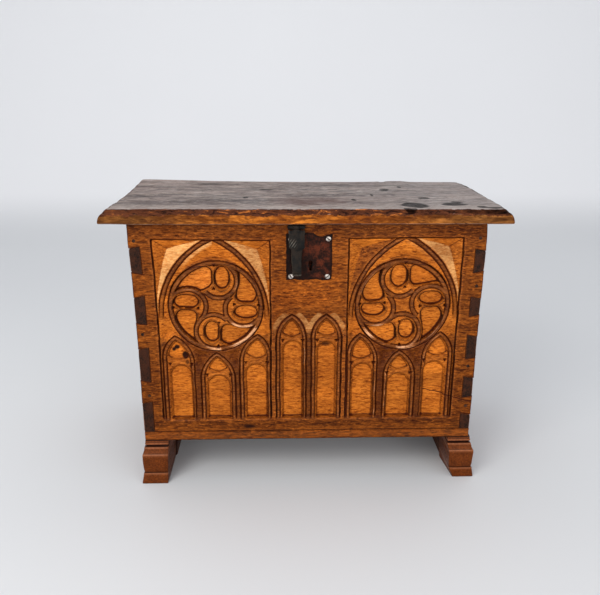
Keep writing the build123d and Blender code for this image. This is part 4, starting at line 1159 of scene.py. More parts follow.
def lid_oak():
    """Weathered grey top, warm edges with a dark chipped chamfer."""
    n = Shader("oak_lid")
    streak = n.noise(stretch(0, 26, 95), detail=7, rough=0.72, warp=0.5)
    band = n.noise(stretch(0, 3.2, 26), detail=3, rough=0.5, warp=0.35, loc=(3, 1, 7))
    fine = n.noise(stretch(0, 90, 330), detail=5, rough=0.7, loc=(5, 2, 1))
    pore = n.noise(stretch(0, 60, 460), detail=3, rough=0.5, warp=0.4, loc=(1, 9, 4))
    pore = n.ramp(pore, 0.56, 0.68)
    blotch = n.noise((9, 11, 9), detail=5, rough=0.6, loc=(2, 2, 9))
    scuff = n.noise((38, 90, 60), detail=6, rough=0.74, warp=0.8, loc=(6, 1, 3))
    scuff = n.ramp(scuff, 0.50, 0.62)
    scar = n.noise((34, 70, 60), detail=6, rough=0.76, warp=1.2, loc=(9, 5, 1))
    scar = n.ramp(scar, 0.55, 0.64)
    chip = n.noise((70, 150, 210), detail=5, rough=0.72, warp=0.7, loc=(7, 4, 2))
    ragged = n.noise((60, 90, 90), detail=5, rough=0.7, warp=0.8, loc=(1, 8, 6))
    growth = n.add(n.mul(streak, 0.6), n.mul(band, 0.4))
    bands = n.ramp(growth, 0.38, 0.62)
    # top, then the underside
    top = n.mix(bands, (64, 52, 48), (176, 158, 148))
    top = n.mix(n.ramp(blotch, 0.42, 0.66, to=(0.0, 0.45)), top, (112, 98, 96))
    top = n.mix(n.mul(scuff, 0.5), top, (196, 182, 172))
    top = n.mix(n.mul(scar, 0.75), top, (54, 38, 34))
    top = n.mix(n.mul(n.ramp(n.position()[0], -0.02, 0.26), 0.4), top, (172, 162, 158))
    top = n.mix(n.ramp(n.position()[1], -0.128, -0.08, to=(0.45, 0.0)), top, (206, 190, 180))
    patch = n.mul(n.attr("patch"), n.ramp(growth, 0.36, 0.58, to=(1.0, 0.45)))
    top = n.mix(patch, top, (96, 56, 42))
    top = n.mix(n.attr("under"), top, n.mix(bands, (84, 50, 28), (136, 88, 50)))
    # walls, duller far from the middle
    side_bands = n.ramp(growth, 0.40, 0.60)
    side = n.mix(side_bands, (120, 60, 16), (232, 138, 48))
    side = n.mix(n.attr("far"), side, n.mix(side_bands, (86, 50, 20), (160, 102, 48)))
    side = n.mix(n.ramp(chip, 0.50, 0.66, to=(0.0, 0.75)), side, (74, 34, 16))
    # chamfer with bright chips
    chamfer = n.mix(n.ramp(chip, 0.36, 0.52), (30, 14, 9), (92, 50, 30))
    lit = n.mul(n.ramp(chip, 0.56, 0.66), n.sub(1.0, n.mul(n.attr("far"), 0.75)))
    chamfer = n.mix(lit, chamfer, (214, 124, 54))
    col = n.mix(n.attr("side"), top, side)
    border = n.add(n.attr("cham"), n.mul(n.sub(ragged, 0.5), 2.4))
    col = n.mix(n.ramp(border, 0.42, 0.58), col, chamfer)
    # dark spots
    spot = n.add(n.attr("dark"), n.mul(n.sub(ragged, 0.5), 0.9))
    spot = n.mul(n.ramp(spot, 0.10, 0.50, to=(0.0, 0.97)), n.ramp(n.attr("dark"), 0.02, 0.2))
    spot = n.mul(spot, n.ramp(fine, 0.34, 0.62, to=(1.0, 0.86)))
    col = n.mix(spot, col, (15, 8, 6))
    lines = n.mul(n.ramp(fine, 0.36, 0.6, to=(1, 0)), 0.45)
    col = n.stain(lines, col, (0.45, 0.36, 0.30, 1))
    col = n.stain(n.mul(pore, 0.65), col, (0.25, 0.17, 0.13, 1))
    on_end = n.mul(n.ramp(n.math("ABSOLUTE", n.normal()[0]), 0.80, 0.93), 0.9)
    specks = n.noise(480, detail=3, rough=0.7, loc=(4, 4, 4))
    col = n.mix(on_end, col, n.mix(n.ramp(specks, 0.35, 0.62), (56, 32, 20), (98, 58, 34)))
    relief = n.add(n.mul(streak, 0.6), n.mul(fine, 0.35))
    n.bump(n.sub(relief, n.mul(pore, 0.6)), strength=0.7, distance=0.0006)
    rough = n.add(n.ramp(blotch, 0.3, 0.7, to=(0.36, 0.50)),
                  n.mul(n.ramp(fine, 0.36, 0.6, to=(1, 0)), 0.16))
    n.finish(col, rough, metal=0.0, spec=0.4)
    rim = n.math("MAXIMUM", n.attr("side"), n.attr("cham"))
    spec = n.mul(n.ramp(rim, 0.0, 1.0, to=(0.13, 0.04)), n.sub(1.0, n.mul(spot, 0.9)))
    n.feed(n.bsdf.inputs["Specular IOR Level"], spec)
    return n.material


def build_lid():
    def step_at(v, s):
        """Pair of grid lines for a recess wall at v, falling towards s."""
        return v, v + 0.12 * s

    inner, outer = HINGE_X - HINGE_HALF, HINGE_X + HINGE_HALF
    must_x = (step_at(-outer, -1) + step_at(-inner, 1) + step_at(inner, -1) + step_at(outer, 1)
              + step_at(LEAF_X[0], -1) + step_at(LEAF_X[1], 1))
    must_y = step_at(HINGE_Y, -1) + step_at(LEAF_Y[0], -1) + step_at(LEAF_Y[1], 1)
    V, F, kind, _, down = slab(
        (LID_X0, LID_X1, LID_Y0, LID_Y1, LID_Z0, LID_Z1), top_r=(8.0, 3.0), low_r=(3.0, 2.0),
        step=2.0, top=lid_top, bottom=lid_bottom,
        wave_top=lid_wave_top, wave_low=lid_wave_low, must_x=must_x, must_y=must_y, rows=9,
        rim_lines=(0.5, 1.1, 1.9, 2.9, 4.1, 5.5, 7.0, 9.0, 11.5, 14.5))
    x, y, z = V.T
    top, wall = kind == 0, kind == 1
    # on the walls the chamfer colour covers the upper part and, as painted shade, the bottom arris
    on_wall = np.where(wall, 0.75 * ease(0.5, 0.0, down) + 0.4 * ease(0.9, 1.0, down), 0)
    chamfer = np.where(top, ease(1.35, 0.8, lid_edge(x, y) / chamfer_width(x, y)), on_wall)
    rubbed = oval(x, y, 2, -78, 66, 44) + 0.22 * noise(x, y, 22, 12, 111)
    patch = (np.where(top, 0.8 * ease(1.15, 0.35, rubbed), 0)
             + np.where(top, 0.25 * ease(-60, -240, x) * ease(0, 110, y), 0))
    dark = np.zeros(len(x))
    for cx, cy, rx, ry, strength in LID_SPOTS:
        q = oval(x, y, cx, cy, rx, ry) + 0.25 * noise(x, y, rx * 0.8, ry * 0.8, 121)
        dark = np.maximum(dark, strength * ease(1.25, 0.45, q))
    dark = unit(dark * 1.45) * np.where(wall, 0.12, 1.0)
    at_right = ease(0.35, 0.7, ease(150, 235, x) + 0.5 * noise(x, y, 12, 6, 141))
    dark = np.maximum(dark, 0.36 * (chamfer > 0.3) * top * at_right)
    masks = dict(side=wall * 1.0, cham=chamfer, far=ease(60, 240, np.abs(x + 10)), patch=patch,
                 dark=dark * (kind < 2), under=(kind == 2) * 1.0)
    V[:, 1] += 0.35 * np.where(wall, noise(x, z, 9, 3, 105) * (y < -140), 0)
    make("lid_plank", V, F, "lid", LID, masks, "lid_board", angle=38)


LID = lid_oak()
build_lid()

# ---- bottom board
FOOT_Z1 = 67.3


def build_bottom():
    def top(x, y, d):
        r = 0.9 + 0.4 * noise(x, y, 12, 12, 131)
        return -0.9 * arris(unit(d / r)) - 0.05 + 0.05 * noise(x, y, 30, 9, 132)

    def bottom(x, y):
        return 0.05 + 0.05 * noise(x, y, 30, 9, 133)

    def wave(x, y):
        return (0.25 * noise1(y, 30, 134) * np.sign(x),
                (0.25 * noise1(x, 34, 135) + 0.2) * np.sign(y) * -1)

    V, F, kind, d, _ = slab((-HALF_W, HALF_W, -HALF_D, HALF_D, FOOT_Z1, BOARD_Z0),
                            top_r=(1.8, 1.8), low_r=(1.8, 1.8), step=5.0, top=top,
                            bottom=bottom, wave_top=wave, wave_low=wave, rows=6, low_in=0.9,
                            rim_lines=(0.3, 0.7, 1.2, 2.0, 3.5))
    z = V[:, 2]
    from_arris = unit(np.minimum(z - FOOT_Z1, BOARD_Z0 - z) / 1.2)
    masks = dict(cav=(1 - from_arris) * 0.5 * (d < 2), edge=0.3 * (kind == 1), floor=0, pale=0,
                 tone=0.12 * noise(V[:, 0], z, 70, 9, 136))
    make("bottom_plank", V, F, "carcase", BASE, masks, "bottom_board")


build_bottom()

# ================================================================ feet
# moulding: z, how far the front and outer faces stand out from the carcase
FOOT_PROFILE = [
    (0.0, 6.4), (0.5, 6.9), (3.0, 6.6), (6.0, 6.0), (9.0, 5.4), (12.0, 4.8), (14.6, 4.5),
    (15.5, 4.4), (15.9, 4.0), (16.3, 3.2), (17.4, 3.1), (21.0, 3.8), (26, 4.3), (31, 4.6),
    (36, 4.85), (41, 4.9), (43.6, 4.85), (45.2, 4.7), (46.2, 4.4), (46.7, 3.7), (47.6, 3.4),
    (50, 2.8), (52.5, 2.2), (54.2, 1.9), (55.6, 1.8), (56.3, 1.5), (56.8, 0.2), (57.5, -0.9),
    (59.3, -1.1), (60.1, -0.8), (60.6, 0.4), (61.4, 0.7), (62.6, 0.5), (63.2, 0.0),
    (65.5, 0.2), (FOOT_Z1, -0.3)]
# the right foot's front and outer faces stand further out by these at height z
RIGHT_Z = [0.0, 14.0, 17.7, 30.0, 44.0, 46.0, 57.0, 67.3]
RIGHT_FRONT = [-7.2, -4.4, -3.4, -3.4, -2.3, -2.0, -1.3, -0.3]
RIGHT_OUTER = [4.9, 4.9, 4.6, 4.1, 4.4, 4.2, 2.7, 2.4]
# inner faces: (z, distance from the middle)
INNER_LEFT = ([0, 20, 67.3], [204.6, 203.9, 201.5])
INNER_RIGHT = ([0, 16, 24, 38, 47.4, 54, 67.3],
               [210.4, 209.8, 209.2, 208.3, 207.2, 205.2, 204.6])
# masks by height, (z, strength): painted shade in the grooves under the ledges, along the ground
# and under the bottom board; painted highlights on the ledges; the tone
FOOT_SHADE = ([0, 0.6, 2, 15.6, 16.2, 17.3, 19, 45.4, 46.6, 48, 49.5, 55.8, 56.6, 57.5, 59.4,
               60.3, 61, 62.7, 63.3, 65, 66, 67.3],
              [0.9, 0.3, 0.0, 0.0, 0.6, 0.4, 0.0, 0.0, 0.4, 0.1, 0.0, 0.0, 0.4, 0.75, 0.7,
               0.2, 0.0, 0.05, 0.4, 0.1, 0.2, 0.8])
FOOT_LEDGE_HIGHLIGHT = ([0, 12, 14.4, 15.4, 15.9, 16.4, 43, 45.4, 46.2, 46.7, 54, 55.6, 56.2, 56.8, 60.3,
              60.9, 61.6, 62.8],
             [0.0, 0.0, 0.35, 0.5, 0.3, 0, 0, 0.6, 0.85, 0.1, 0.05, 0.6, 0.8, 0, 0, 0.7, 0.8,
              0.1])
FOOT_TONE = ([0, 14, 16, 30, 44, 46, 56], [0.05, 0.05, -0.16, -0.10, 0.04, 0.0, 0.05])
RING_POINTS = 260


def rounded_rect(x0, x1, y0, y1, r, step):
    """Closed loop of a rounded rectangle, starting at the front."""
    points = []

    def line(ax, ay, bx, by):
        m = max(1, int(round(math.hypot(bx - ax, by - ay) / step)))
        for i in range(m):
            points.append((ax + (bx - ax) * i / m, ay + (by - ay) * i / m))

    def corner(cx, cy, start):
        for i in range(4):
            a = math.radians(start + 90 * i / 4)
            points.append((cx + r * math.cos(a), cy + r * math.sin(a)))

    line(x0 + r, y0, x1 - r, y0)
    corner(x1 - r, y0 + r, -90)
    line(x1, y0 + r, x1, y1 - r)
    corner(x1 - r, y1 - r, 0)
    line(x1 - r, y1, x0 + r, y1)
    corner(x0 + r, y1 - r, 90)
    line(x0, y1 - r, x0, y0 + r)
    corner(x0 + r, y0 + r, 180)
    return np.array(points)


def foot_ring(side, z, out):
    """Outline of a foot at height z, resampled by index."""
    front = outer = out
    if side > 0:
        front = out + np.interp(z, RIGHT_Z, RIGHT_FRONT)
        outer = out + np.interp(z, RIGHT_Z, RIGHT_OUTER)
    inner_x = float(np.interp(z, *(INNER_RIGHT if side > 0 else INNER_LEFT)))
    x0, x1 = sorted((side * inner_x, side * (HALF_W + outer)))
    p = rounded_rect(x0, x1, -HALF_D - front, HALF_D + out, r=1.3, step=2.6)
    t = np.linspace(0, len(p), RING_POINTS, endpoint=False)
    p = np.vstack([p, p[:1]])
    x, y = (np.interp(t, np.arange(len(p)), p[:, i]) for i in (0, 1))
    return np.column_stack([x, y, np.full(RING_POINTS, z)])


def build_foot(side, name):
    stations = []
    for (z0, o0), (z1, o1) in zip(FOOT_PROFILE[:-1], FOOT_PROFILE[1:]):
        stations.append((z0, o0))
        if z1 - z0 > 2.9:
            stations.append(((z0 + z1) / 2, (o0 + o1) / 2))
    stations.append(FOOT_PROFILE[-1])
    R = np.array([foot_ring(side, z, out) for z, out in stations])
    x, y, z = R[..., 0], R[..., 1], R[..., 2]
    wobble = 0.20 * noise(x + y, z, 30, 14, 141 + side) + 0.10 * noise(x - y, z, 8, 4, 142)
    across = np.clip((x - x.mean(1, keepdims=True)) / 15, -1, 1)
    along = np.clip(np.abs(y) - 128, 0, 8) / 8 * np.sign(y)
    x += wobble * across * 0.8
    y += wobble * along * 0.8
    # the front block ends at a joint; the piece behind steps and is darker
    joint_y = -64.0 if side < 0 else -72.0
    inner = unit(-across * side) ** 3
    behind = ease(joint_y - 1.0, joint_y + 1.0, y)
    x += inner * behind * 2.0
    x += inner * side * 1.3 * bell(y - joint_y, 1.3)
    if side > 0:                     # inner front corner of the plinth is cut off
        cut = np.interp(y, [-140, -134, -110, -80], [5.8, 5.6, 3.2, 0.0])
        x += inner * ease(16.5, 0.5, z) * cut
    index = np.arange(x.size).reshape(x.shape)
    F = []
    for a, b in zip(index[:-1], index[1:]):
        F += np.stack([a, np.roll(a, -1), np.roll(b, -1), b], -1).tolist()
    F += [index[0][::-1].tolist(), index[-1].tolist()]
    x, y, z = x.ravel(), y.ravel(), z.ravel()
    shadow = (inner * ((0.30 if side < 0 else 0.08) + 0.6 * behind)).ravel()
    joint = inner.ravel() * bell(y - joint_y, 1.6)
    tone = (0.10 * noise(y, z, 40, 8, 145) + 0.07 * noise(x, z, 9, 30, 146)
            + np.interp(z, *FOOT_TONE) - shadow * 0.8)
    # painted shade in the grooves and painted highlights on the ledges
    masks = dict(cav=unit(np.interp(z, *FOOT_SHADE) * (1 - 0.6 * shadow) + joint * 0.9),
                 edge=unit(np.interp(z, *FOOT_LEDGE_HIGHLIGHT) * 0.75 * (1 - shadow)),
                 floor=0, pale=0, tone=np.clip(tone, -1, 1))
    make(f"{name}_foot_runner", R.reshape(-1, 3), F, "carcase", FOOT, masks,
         f"{name}_foot", angle=50)


build_foot(-1, "left")
build_foot(1, "right")


# ================================================================ iron and steel
def file_marks(n, grain):
    """A patch of short slanting file marks on the broad part of the hasp."""
    x, _, z = n.position()
    across = n.sub(x, n.mul(z, 0.72))
    wave = n.math("SINE", n.mul(across, 2 * math.pi / 0.0036))       # marks 3.6 mm apart
    marks = n.ramp(wave, 0.55, 0.98, to=(0.0, 0.85))
    for fade in (n.ramp(x, -0.0250, -0.0222), n.ramp(x, -0.0185, -0.0130, to=(1.0, 0.0)),
                 n.ramp(z, 0.3525, 0.3565), n.ramp(z, 0.3600, 0.3665, to=(1.0, 0.0)),
                 n.ramp(grain, 0.36, 0.54, to=(0.25, 1.0))):
        marks = n.mul(marks, fade)
    return marks


def iron(name, base, dark, rust, rust_amount, rough, metal, scale=1.0, spec=0.5, filed=False):
    """Clouded, pitted and rusty metal. The masks edge and dark brighten and blacken it."""
    n = Shader(name)
    big = n.noise(70 * scale, detail=5, rough=0.62, warp=0.4)
    small = n.noise(420 * scale, detail=4, rough=0.65, loc=(3, 7, 1))
    pit = n.cells(360 * scale, loc=(2, 1, 5))
    col = n.mix(n.ramp(big, 0.35, 0.65), dark, base)
    rusty = n.ramp(n.add(n.mul(big, 0.6), n.mul(small, 0.4)), 0.44, 0.60)
    rusty = n.mul(rusty, rust_amount)
    col = n.mix(rusty, col, rust)
    # brighter where the mask edge is: rims, and painted highlights on the hasp
    col = n.mix(n.mul(n.attr("edge"), n.ramp(small, 0.3, 0.6)), col, shade(base, 1.9, 26))
    col = n.mix(n.mul(n.ramp(pit, 0.05, 0.2, to=(1, 0)), 0.5), col, shade(dark, 0.6))
    col = n.mix(n.attr("dark"), col, (12, 7, 6))
    if filed:
        col = n.mix(file_marks(n, small), col, (124, 117, 106))
    relief = n.add(n.mul(big, 0.6), n.mul(small, 0.35))
    relief = n.add(relief, n.mul(n.ramp(pit, 0.0, 0.25), 0.2))
    n.bump(relief, strength=0.6, distance=0.0005)
    gloss = n.ramp(small, 0.3, 0.7, to=(rough - 0.08, rough + 0.1))
    gloss = n.add(gloss, n.mul(rusty, 0.2))
    return n.finish(col, gloss, n.ramp(rusty, 0.0, 0.6, to=(metal, metal * 0.35)), spec)


PLATE = iron("plate_iron", base=(52, 24, 14), dark=(24, 10, 6), rust=(104, 46, 26),
             rust_amount=0.55, rough=0.5, metal=0.0, spec=0.06)
HASP = iron("hasp_iron", base=(34, 30, 25), dark=(11, 10, 9), rust=(40, 24, 15),
            rust_amount=0.4, rough=0.42, metal=0.0, scale=1.6, spec=0.08, filed=True)
NAIL = iron("nail_iron", base=(62, 42, 30), dark=(22, 13, 9), rust=(80, 44, 26),
            rust_amount=0.5, rough=0.5, metal=0.0, scale=1.6, spec=0.08)
HINGE = iron("hinge_iron", base=(62, 55, 50), dark=(34, 29, 26), rust=(84, 48, 28),
             rust_amount=0.45, rough=0.5, metal=0.7)
STEEL = iron("lock_steel", base=(112, 106, 98), dark=(70, 64, 58), rust=(88, 56, 34),
             rust_amount=0.3, rough=0.4, metal=0.9, scale=1.2)
SCREW = iron("screw_steel", base=(214, 206, 198), dark=(150, 140, 130), rust=(120, 84, 60),
             rust_amount=0.35, rough=0.38, metal=0.8, scale=1.6)

# CAD pieces kept as they are: names, material, bevel width in mm
for names, material, bevel_width in (
        ("front_corner_nails back_corner_nails bottom_nails", NAIL, 0.35),
        ("foot_nails", NAIL, 0.3),
        ("left_hinge_lid_leaf right_hinge_lid_leaf left_hinge_body_leaf "
         "right_hinge_body_leaf left_hinge_pin right_hinge_pin", HINGE, 0.3),
        ("hinge_lid_nails", NAIL, 0.2), ("hinge_body_nails", NAIL, 0.3),
        ("hasp_hinge_leaf", HASP, 0.3), ("hasp_leaf_nails", NAIL, 0.2),
        ("hasp_pin", HASP, 0.25), ("hasp_staple", HASP, 0.3), ("lock_case", PLATE, 0.3),
        ("lock_case_rivets", PLATE, 0.2), ("lock_bolt", STEEL, 0.25),
        ("bolt_guides", PLATE, 0.15), ("bolt_spring", STEEL, 0.08), ("lock_ward", PLATE, 0.15)):
    for name in names.split():
        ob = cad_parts[name]
        ob.data.materials.clear()
        ob.data.materials.append(material)
        bevel = ob.modifiers.new("Bevel", "BEVEL")
        bevel.width = bevel_width / 1000
        bevel.segments = 2
        bevel.limit_method = "ANGLE"
        bevel.angle_limit = math.radians(38)

# ---- lock plate: thin hammered sheet with a ragged outline
PLATE_T = 1.5
PLATE_OUTLINE = [
    (-31.6, 370.4), (-20.0, 371.2), (-6.0, 371.6), (5.0, 371.0), (8.4, 368.0), (12.0, 366.4),
    (17.0, 366.2), (24.0, 368.6), (30.0, 369.8), (29.4, 350.0), (30.0, 330.0), (29.6, 308.0),
    (20.0, 306.4), (8.0, 308.4), (-8.0, 306.6), (-20.0, 308.2), (-31.2, 306.8),
    (-31.5, 330.0), (-31.0, 350.0)]
STAPLE_SLOT = [(-21.2, 326.8), (-14.8, 326.8), (-14.8, 350.2), (-21.2, 350.2)]
KEYHOLE_X = 1.2
# screws: x, z, direction of the slot's normal (radians), tilt of the head (mm)
SCREWS = [(24.6, 363.3, 0.9, 0.10), (24.0, 312.0, 2.2, -0.12), (-25.2, 312.3, 0.5, 0.08),
          (-25.0, 363.0, 1.4, 0.0)]
# raised rivet heads: x, z, radius
PLATE_RIVETS = [(-23.5, 349.5, 2.0), (23.5, 320.5, 2.1)]


def resample(points, step):
    """Closed outline at even spacing."""
    Q = np.vstack([points, points[:1]]).astype(float)
    s = np.concatenate([[0], np.cumsum(np.hypot(*np.diff(Q, axis=0).T))])
    t = np.linspace(0, s[-1], max(8, int(round(s[-1] / step))), endpoint=False)
    return np.stack([np.interp(t, s, Q[:, 0]), np.interp(t, s, Q[:, 1])], 1)


def circle(cx, cz, r, m=20):
    a = np.arange(m) * 2 * math.pi / m
    return np.stack([cx + r * np.cos(a), cz + r * np.sin(a)], 1)


def keyhole(cx, cz, r, half, low_z):
    """Round hole with a slot of the given half width down to low_z."""
    a0 = math.asin(half / r)
    points = [(cx + r * math.cos(t), cz + r * math.sin(t))
              for t in np.linspace(-math.pi / 2 + a0, 1.5 * math.pi - a0, 20)]
    return resample(points + [(cx - half, low_z), (cx + half, low_z)], 0.8)


def sheet(outer, holes, step):
    """Triangle mesh between an outline and holes: points, triangles, distance to an edge."""
    def depth(x, z):
        d = polygon_depth(x, z, outer)
        for hole in holes:
            d = np.minimum(d, -polygon_depth(x, z, hole))
        return d

    points, edges = [], []
    for loop in [outer] + holes:
        b = len(points)
        points += [tuple(p) for p in loop]
        edges += [(b + i, b + (i + 1) % len(loop)) for i in range(len(loop))]
    lo, hi = outer.min(0), outer.max(0)
    gx, gz = np.meshgrid(np.arange(lo[0], hi[0], step), np.arange(lo[1], hi[1], step * 0.87),
                         indexing="ij")
    gx = gx + (np.arange(gx.shape[1]) % 2)[None, :] * step / 2
    gx, gz = gx.ravel(), gz.ravel()
    keep = depth(gx, gz) > step * 0.55
    points += list(zip(gx[keep].tolist(), gz[keep].tolist()))
    v, _, f, *_ = delaunay_2d_cdt([Vector(p) for p in points], edges, [], 0, 1e-6)
    P = np.array([tuple(p) for p in v])
    T = np.array([tuple(t) for t in f if len(t) == 3])
    middle = P[T].mean(1)
    T = T[depth(middle[:, 0], middle[:, 1]) > 0]
    return P, T, np.maximum(depth(P[:, 0], P[:, 1]), 0)


def build_plate():
    outer = resample(PLATE_OUTLINE, 0.7)
    tangent = np.roll(outer, -1, 0) - np.roll(outer, 1, 0)
    normal = np.stack([tangent[:, 1], -tangent[:, 0]], 1)
    normal = normal / np.hypot(tangent[:, 1], -tangent[:, 0])[:, None]
    x, z = outer.T
    ragged = 0.35 * noise(x, z, 5, 5, 151) + 0.15 * noise(x, z, 1.7, 1.7, 152)
    outer = outer + normal * ragged[:, None]
    holes = [resample(STAPLE_SLOT, 0.8), keyhole(KEYHOLE_X, 331.0, r=2.8, half=1.7, low_z=320.0)]
    holes += [circle(cx, cz, 1.8) for cx, cz, _, _ in SCREWS]
    P, T, from_edge = sheet(outer, holes, step=0.85)
    x, z = P.T
    # hammered face, thinner at the edges
    height = (PLATE_T - 0.55 * (1 - unit(from_edge / 0.9)) ** 2
              + 0.14 * noise(x, z, 9, 9, 153) + 0.06 * noise(x, z, 3, 3, 154) - 0.12)
    for cx, cz, r in PLATE_RIVETS:
        q = np.hypot(x - cx, z - cz) / r
        height = height + 0.5 * np.sqrt(unit(1 - q * q)) - 0.15 * bell(q - 1.15, 0.15)
    m = len(P)
    V = np.concatenate([np.stack([x, FACE_Y - height, z], 1),
                        np.stack([x, np.full(m, FACE_Y), z], 1)])
    F = T.tolist() + (T[:, ::-1] + m).tolist()
    for loop in outlines(T, m):
        F += ring_wall(loop, loop + m)
    # drop the points no triangle uses
    used = np.unique(T)
    keep = np.concatenate([used, used + m])
    renumber = np.full(2 * m, -1)
    renumber[keep] = np.arange(len(keep))
    V, F = V[keep], [[int(renumber[i]) for i in f] for f in F]
    edge = pad(ease(1.5, 0.1, from_edge), 2 * m)[keep]
    # dark rim, left part, top and keyhole: dirt and painted shade on the rim, a painted shadow of
    # the hasp on the left part, painted shade in the keyhole
    x, z = V[:, 0], V[:, 2]
    inside = (np.maximum(polygon_depth(x, z, outer), 0)
              + 1.1 * noise(x, z, 5, 5, 155) + 0.5 * noise(x, z, 1.6, 1.6, 156))
    dark = np.maximum.reduce([
        0.85 * ease(4.6, 1.2, inside),
        0.80 * ease(0.0, -14.0, x + 0.35 * (z - 340)),
        0.45 * ease(352, 368, z + 2 * noise(x, z, 8, 8, 157)),
        1.0 * ease(5.4, 3.0, oval(x, z, KEYHOLE_X, 328.0, 0.9, 1.5))])
    make("lock_escutcheon", V, F, "carcase", PLATE,
         dict(edge=edge * 0.15, dark=unit(dark)), "lock_plate", angle=50)


build_plate()

# ---- plate screws: domed, slotted heads, a little out of round, on tapered shanks
HEAD_R = 3.45
# rings: radius, y from the plate's face; None follows the dome
SCREW_RINGS = [(0.3 * i, None) for i in range(1, 11)] + [
    (3.2, None), (3.4, -0.42), (HEAD_R, -0.2), (3.4, 0.0), (1.7, 0.02), (1.68, 8.5),
    (1.1, 11.0), (0.3, 13.2)]


def screw(cx, cz, turn, tilt, m=44):
    """Points, faces and darkness of one screw."""
    V, dark = [], []
    angles = np.arange(m) * 2 * math.pi / m
    y0 = FACE_Y - PLATE_T

    def dome(x, z, r):
        d = np.abs(x * math.cos(turn) + z * math.sin(turn))
        slot = 0.8 * ease(0.66, 0.44, d)
        y = -1.28 + 0.62 * (r / HEAD_R) ** 2.2 + slot + tilt * x / HEAD_R
        return y, ease(0.8, 0.5, d)

    y, k = dome(np.array([0.0]), np.array([0.0]), 0.0)
    V.append((cx, y0 + float(y[0]), cz))
    dark.append(float(k[0]))
    for r, ring_y in SCREW_RINGS:
        radii = r * (1 + 0.03 * np.sin(2 * angles + turn)) if r > 2.9 else r
        x, z = radii * np.cos(angles), radii * np.sin(angles)
        if ring_y is None:
            y, k = dome(x, z, r)
            k = k * (r < 3.1)
        else:
            # head rim and shank: darker, painted shade where the head meets the plate
            y, k = np.full(m, ring_y), np.full(m, 0.7 if ring_y > -0.3 else 0.2)
        V += list(zip(cx + x, y0 + y, cz + z))
        dark += list(k)
    F = [[0, 1 + i, 1 + (i + 1) % m] for i in range(m)]
    for j in range(len(SCREW_RINGS) - 1):
        for i in range(m):
            a, b = 1 + j * m + i, 1 + j * m + (i + 1) % m
            F.append([a, a + m, b + m, b])
    F.append([1 + (len(SCREW_RINGS) - 1) * m + i for i in range(m)])
    return np.array(V, float), F, np.array(dark)


screws = [screw(*row) for row in SCREWS]
screw_points, screw_faces = join([part[:2] for part in screws])
screw_dark = np.concatenate([part[2] for part in screws])
make("plate_screw_set", screw_points, screw_faces, "carcase", SCREW,
     dict(dark=unit(screw_dark * 0.85), edge=0), "lock_plate_screws", angle=50)

# ---- hasp: forged strap, modelled hanging straight down, then swung by its rest angle
PIN_Y, PIN_Z, REST_ANGLE = -141.5, 380.0, math.radians(12.0)
STRAP_Y = PIN_Y + 1.0                # middle of the strap's thickness
# stations: y from STRAP_Y, z, turn of the thickness direction, left x, right x, thickness
STRAP = [(0, 375.9, 0, -27.6, -6.9, 1.6), (0, 375.6, 0, -28.1, -6.5, 2.6),
         (0, 374.6, 0, -28.3, -6.3, 3.0), (0, 370.0, 0, -27.7, -6.8, 3.0),
         (0, 362.0, 0, -27.8, -6.7, 3.0), (0, 355.0, 0, -27.6, -6.9, 3.05),
         (-0.05, 352.8, 0, -27.6, -6.7, 3.1), (-0.15, 351.6, 0, -25.8, -8.2, 3.3),
         (-0.3, 350.2, 0, -24.9, -10.2, 3.6), (-0.5, 347.0, 0, -24.6, -10.4, 3.9),
         (-0.5, 340.0, 0, -24.4, -10.7, 4.0), (-0.5, 332.0, 0, -24.0, -11.0, 4.0),
         (-0.5, 328.0, 0, -23.7, -11.2, 4.0), (-0.6, 324.4, 0.15, -23.5, -11.4, 3.9),
         (-1.3, 321.1, 0.5, -23.4, -11.5, 3.7), (-2.9, 318.7, 0.95, -23.3, -11.6, 3.4),
         (-4.8, 317.7, 1.35, -23.2, -11.7, 3.1), (-6.4, 317.7, 1.75, -23.1, -11.8, 2.7),
         (-7.2, 318.1, 2.0, -22.2, -11.4, 1.8), (-7.5, 318.3, 2.1, -21.2, -12.3, 0.9)]
KNUCKLE_X0, KNUCKLE_X1 = -22.4, -13.6
KNUCKLE_IN, KNUCKLE_OUT = 1.56, 3.5
# neck between strap and knuckle: z, how far it is short of the knuckle's ends, thickness
NECK = [(379.6, 0.4, 2.2), (379.2, 0.1, 2.9), (377.0, 0, 3.0), (374.0, 0.1, 2.9), (373.5, 0.4, 2.2)]
HASP_M = 28                          # points round each section


def loft(stations):
    """Closed tube of superellipse sections through (y, z, turn, x0, x1, thickness)."""
    V, F, m = [], [], HASP_M
    for y, z, turn, x0, x1, thickness in stations:
        for i in range(m):
            a = 2 * math.pi * i / m
            c, s = math.cos(a), math.sin(a)
            across = abs(c) ** 0.42 * math.copysign(1, c)
            t = abs(s) ** 0.62 * math.copysign(1, s) * thickness / 2
            V.append(((x0 + x1) / 2 + across * (x1 - x0) / 2,
                      y + t * math.cos(turn), z + t * math.sin(turn)))
    last = (len(stations) - 1) * m
    for j in range(0, last, m):
        for i in range(m):
            a, b = j + i, j + (i + 1) % m
            F.append([a, b, b + m, a + m])
    F.append(list(range(m))[::-1])
    F.append([last + i for i in range(m)])
    return np.array(V), F


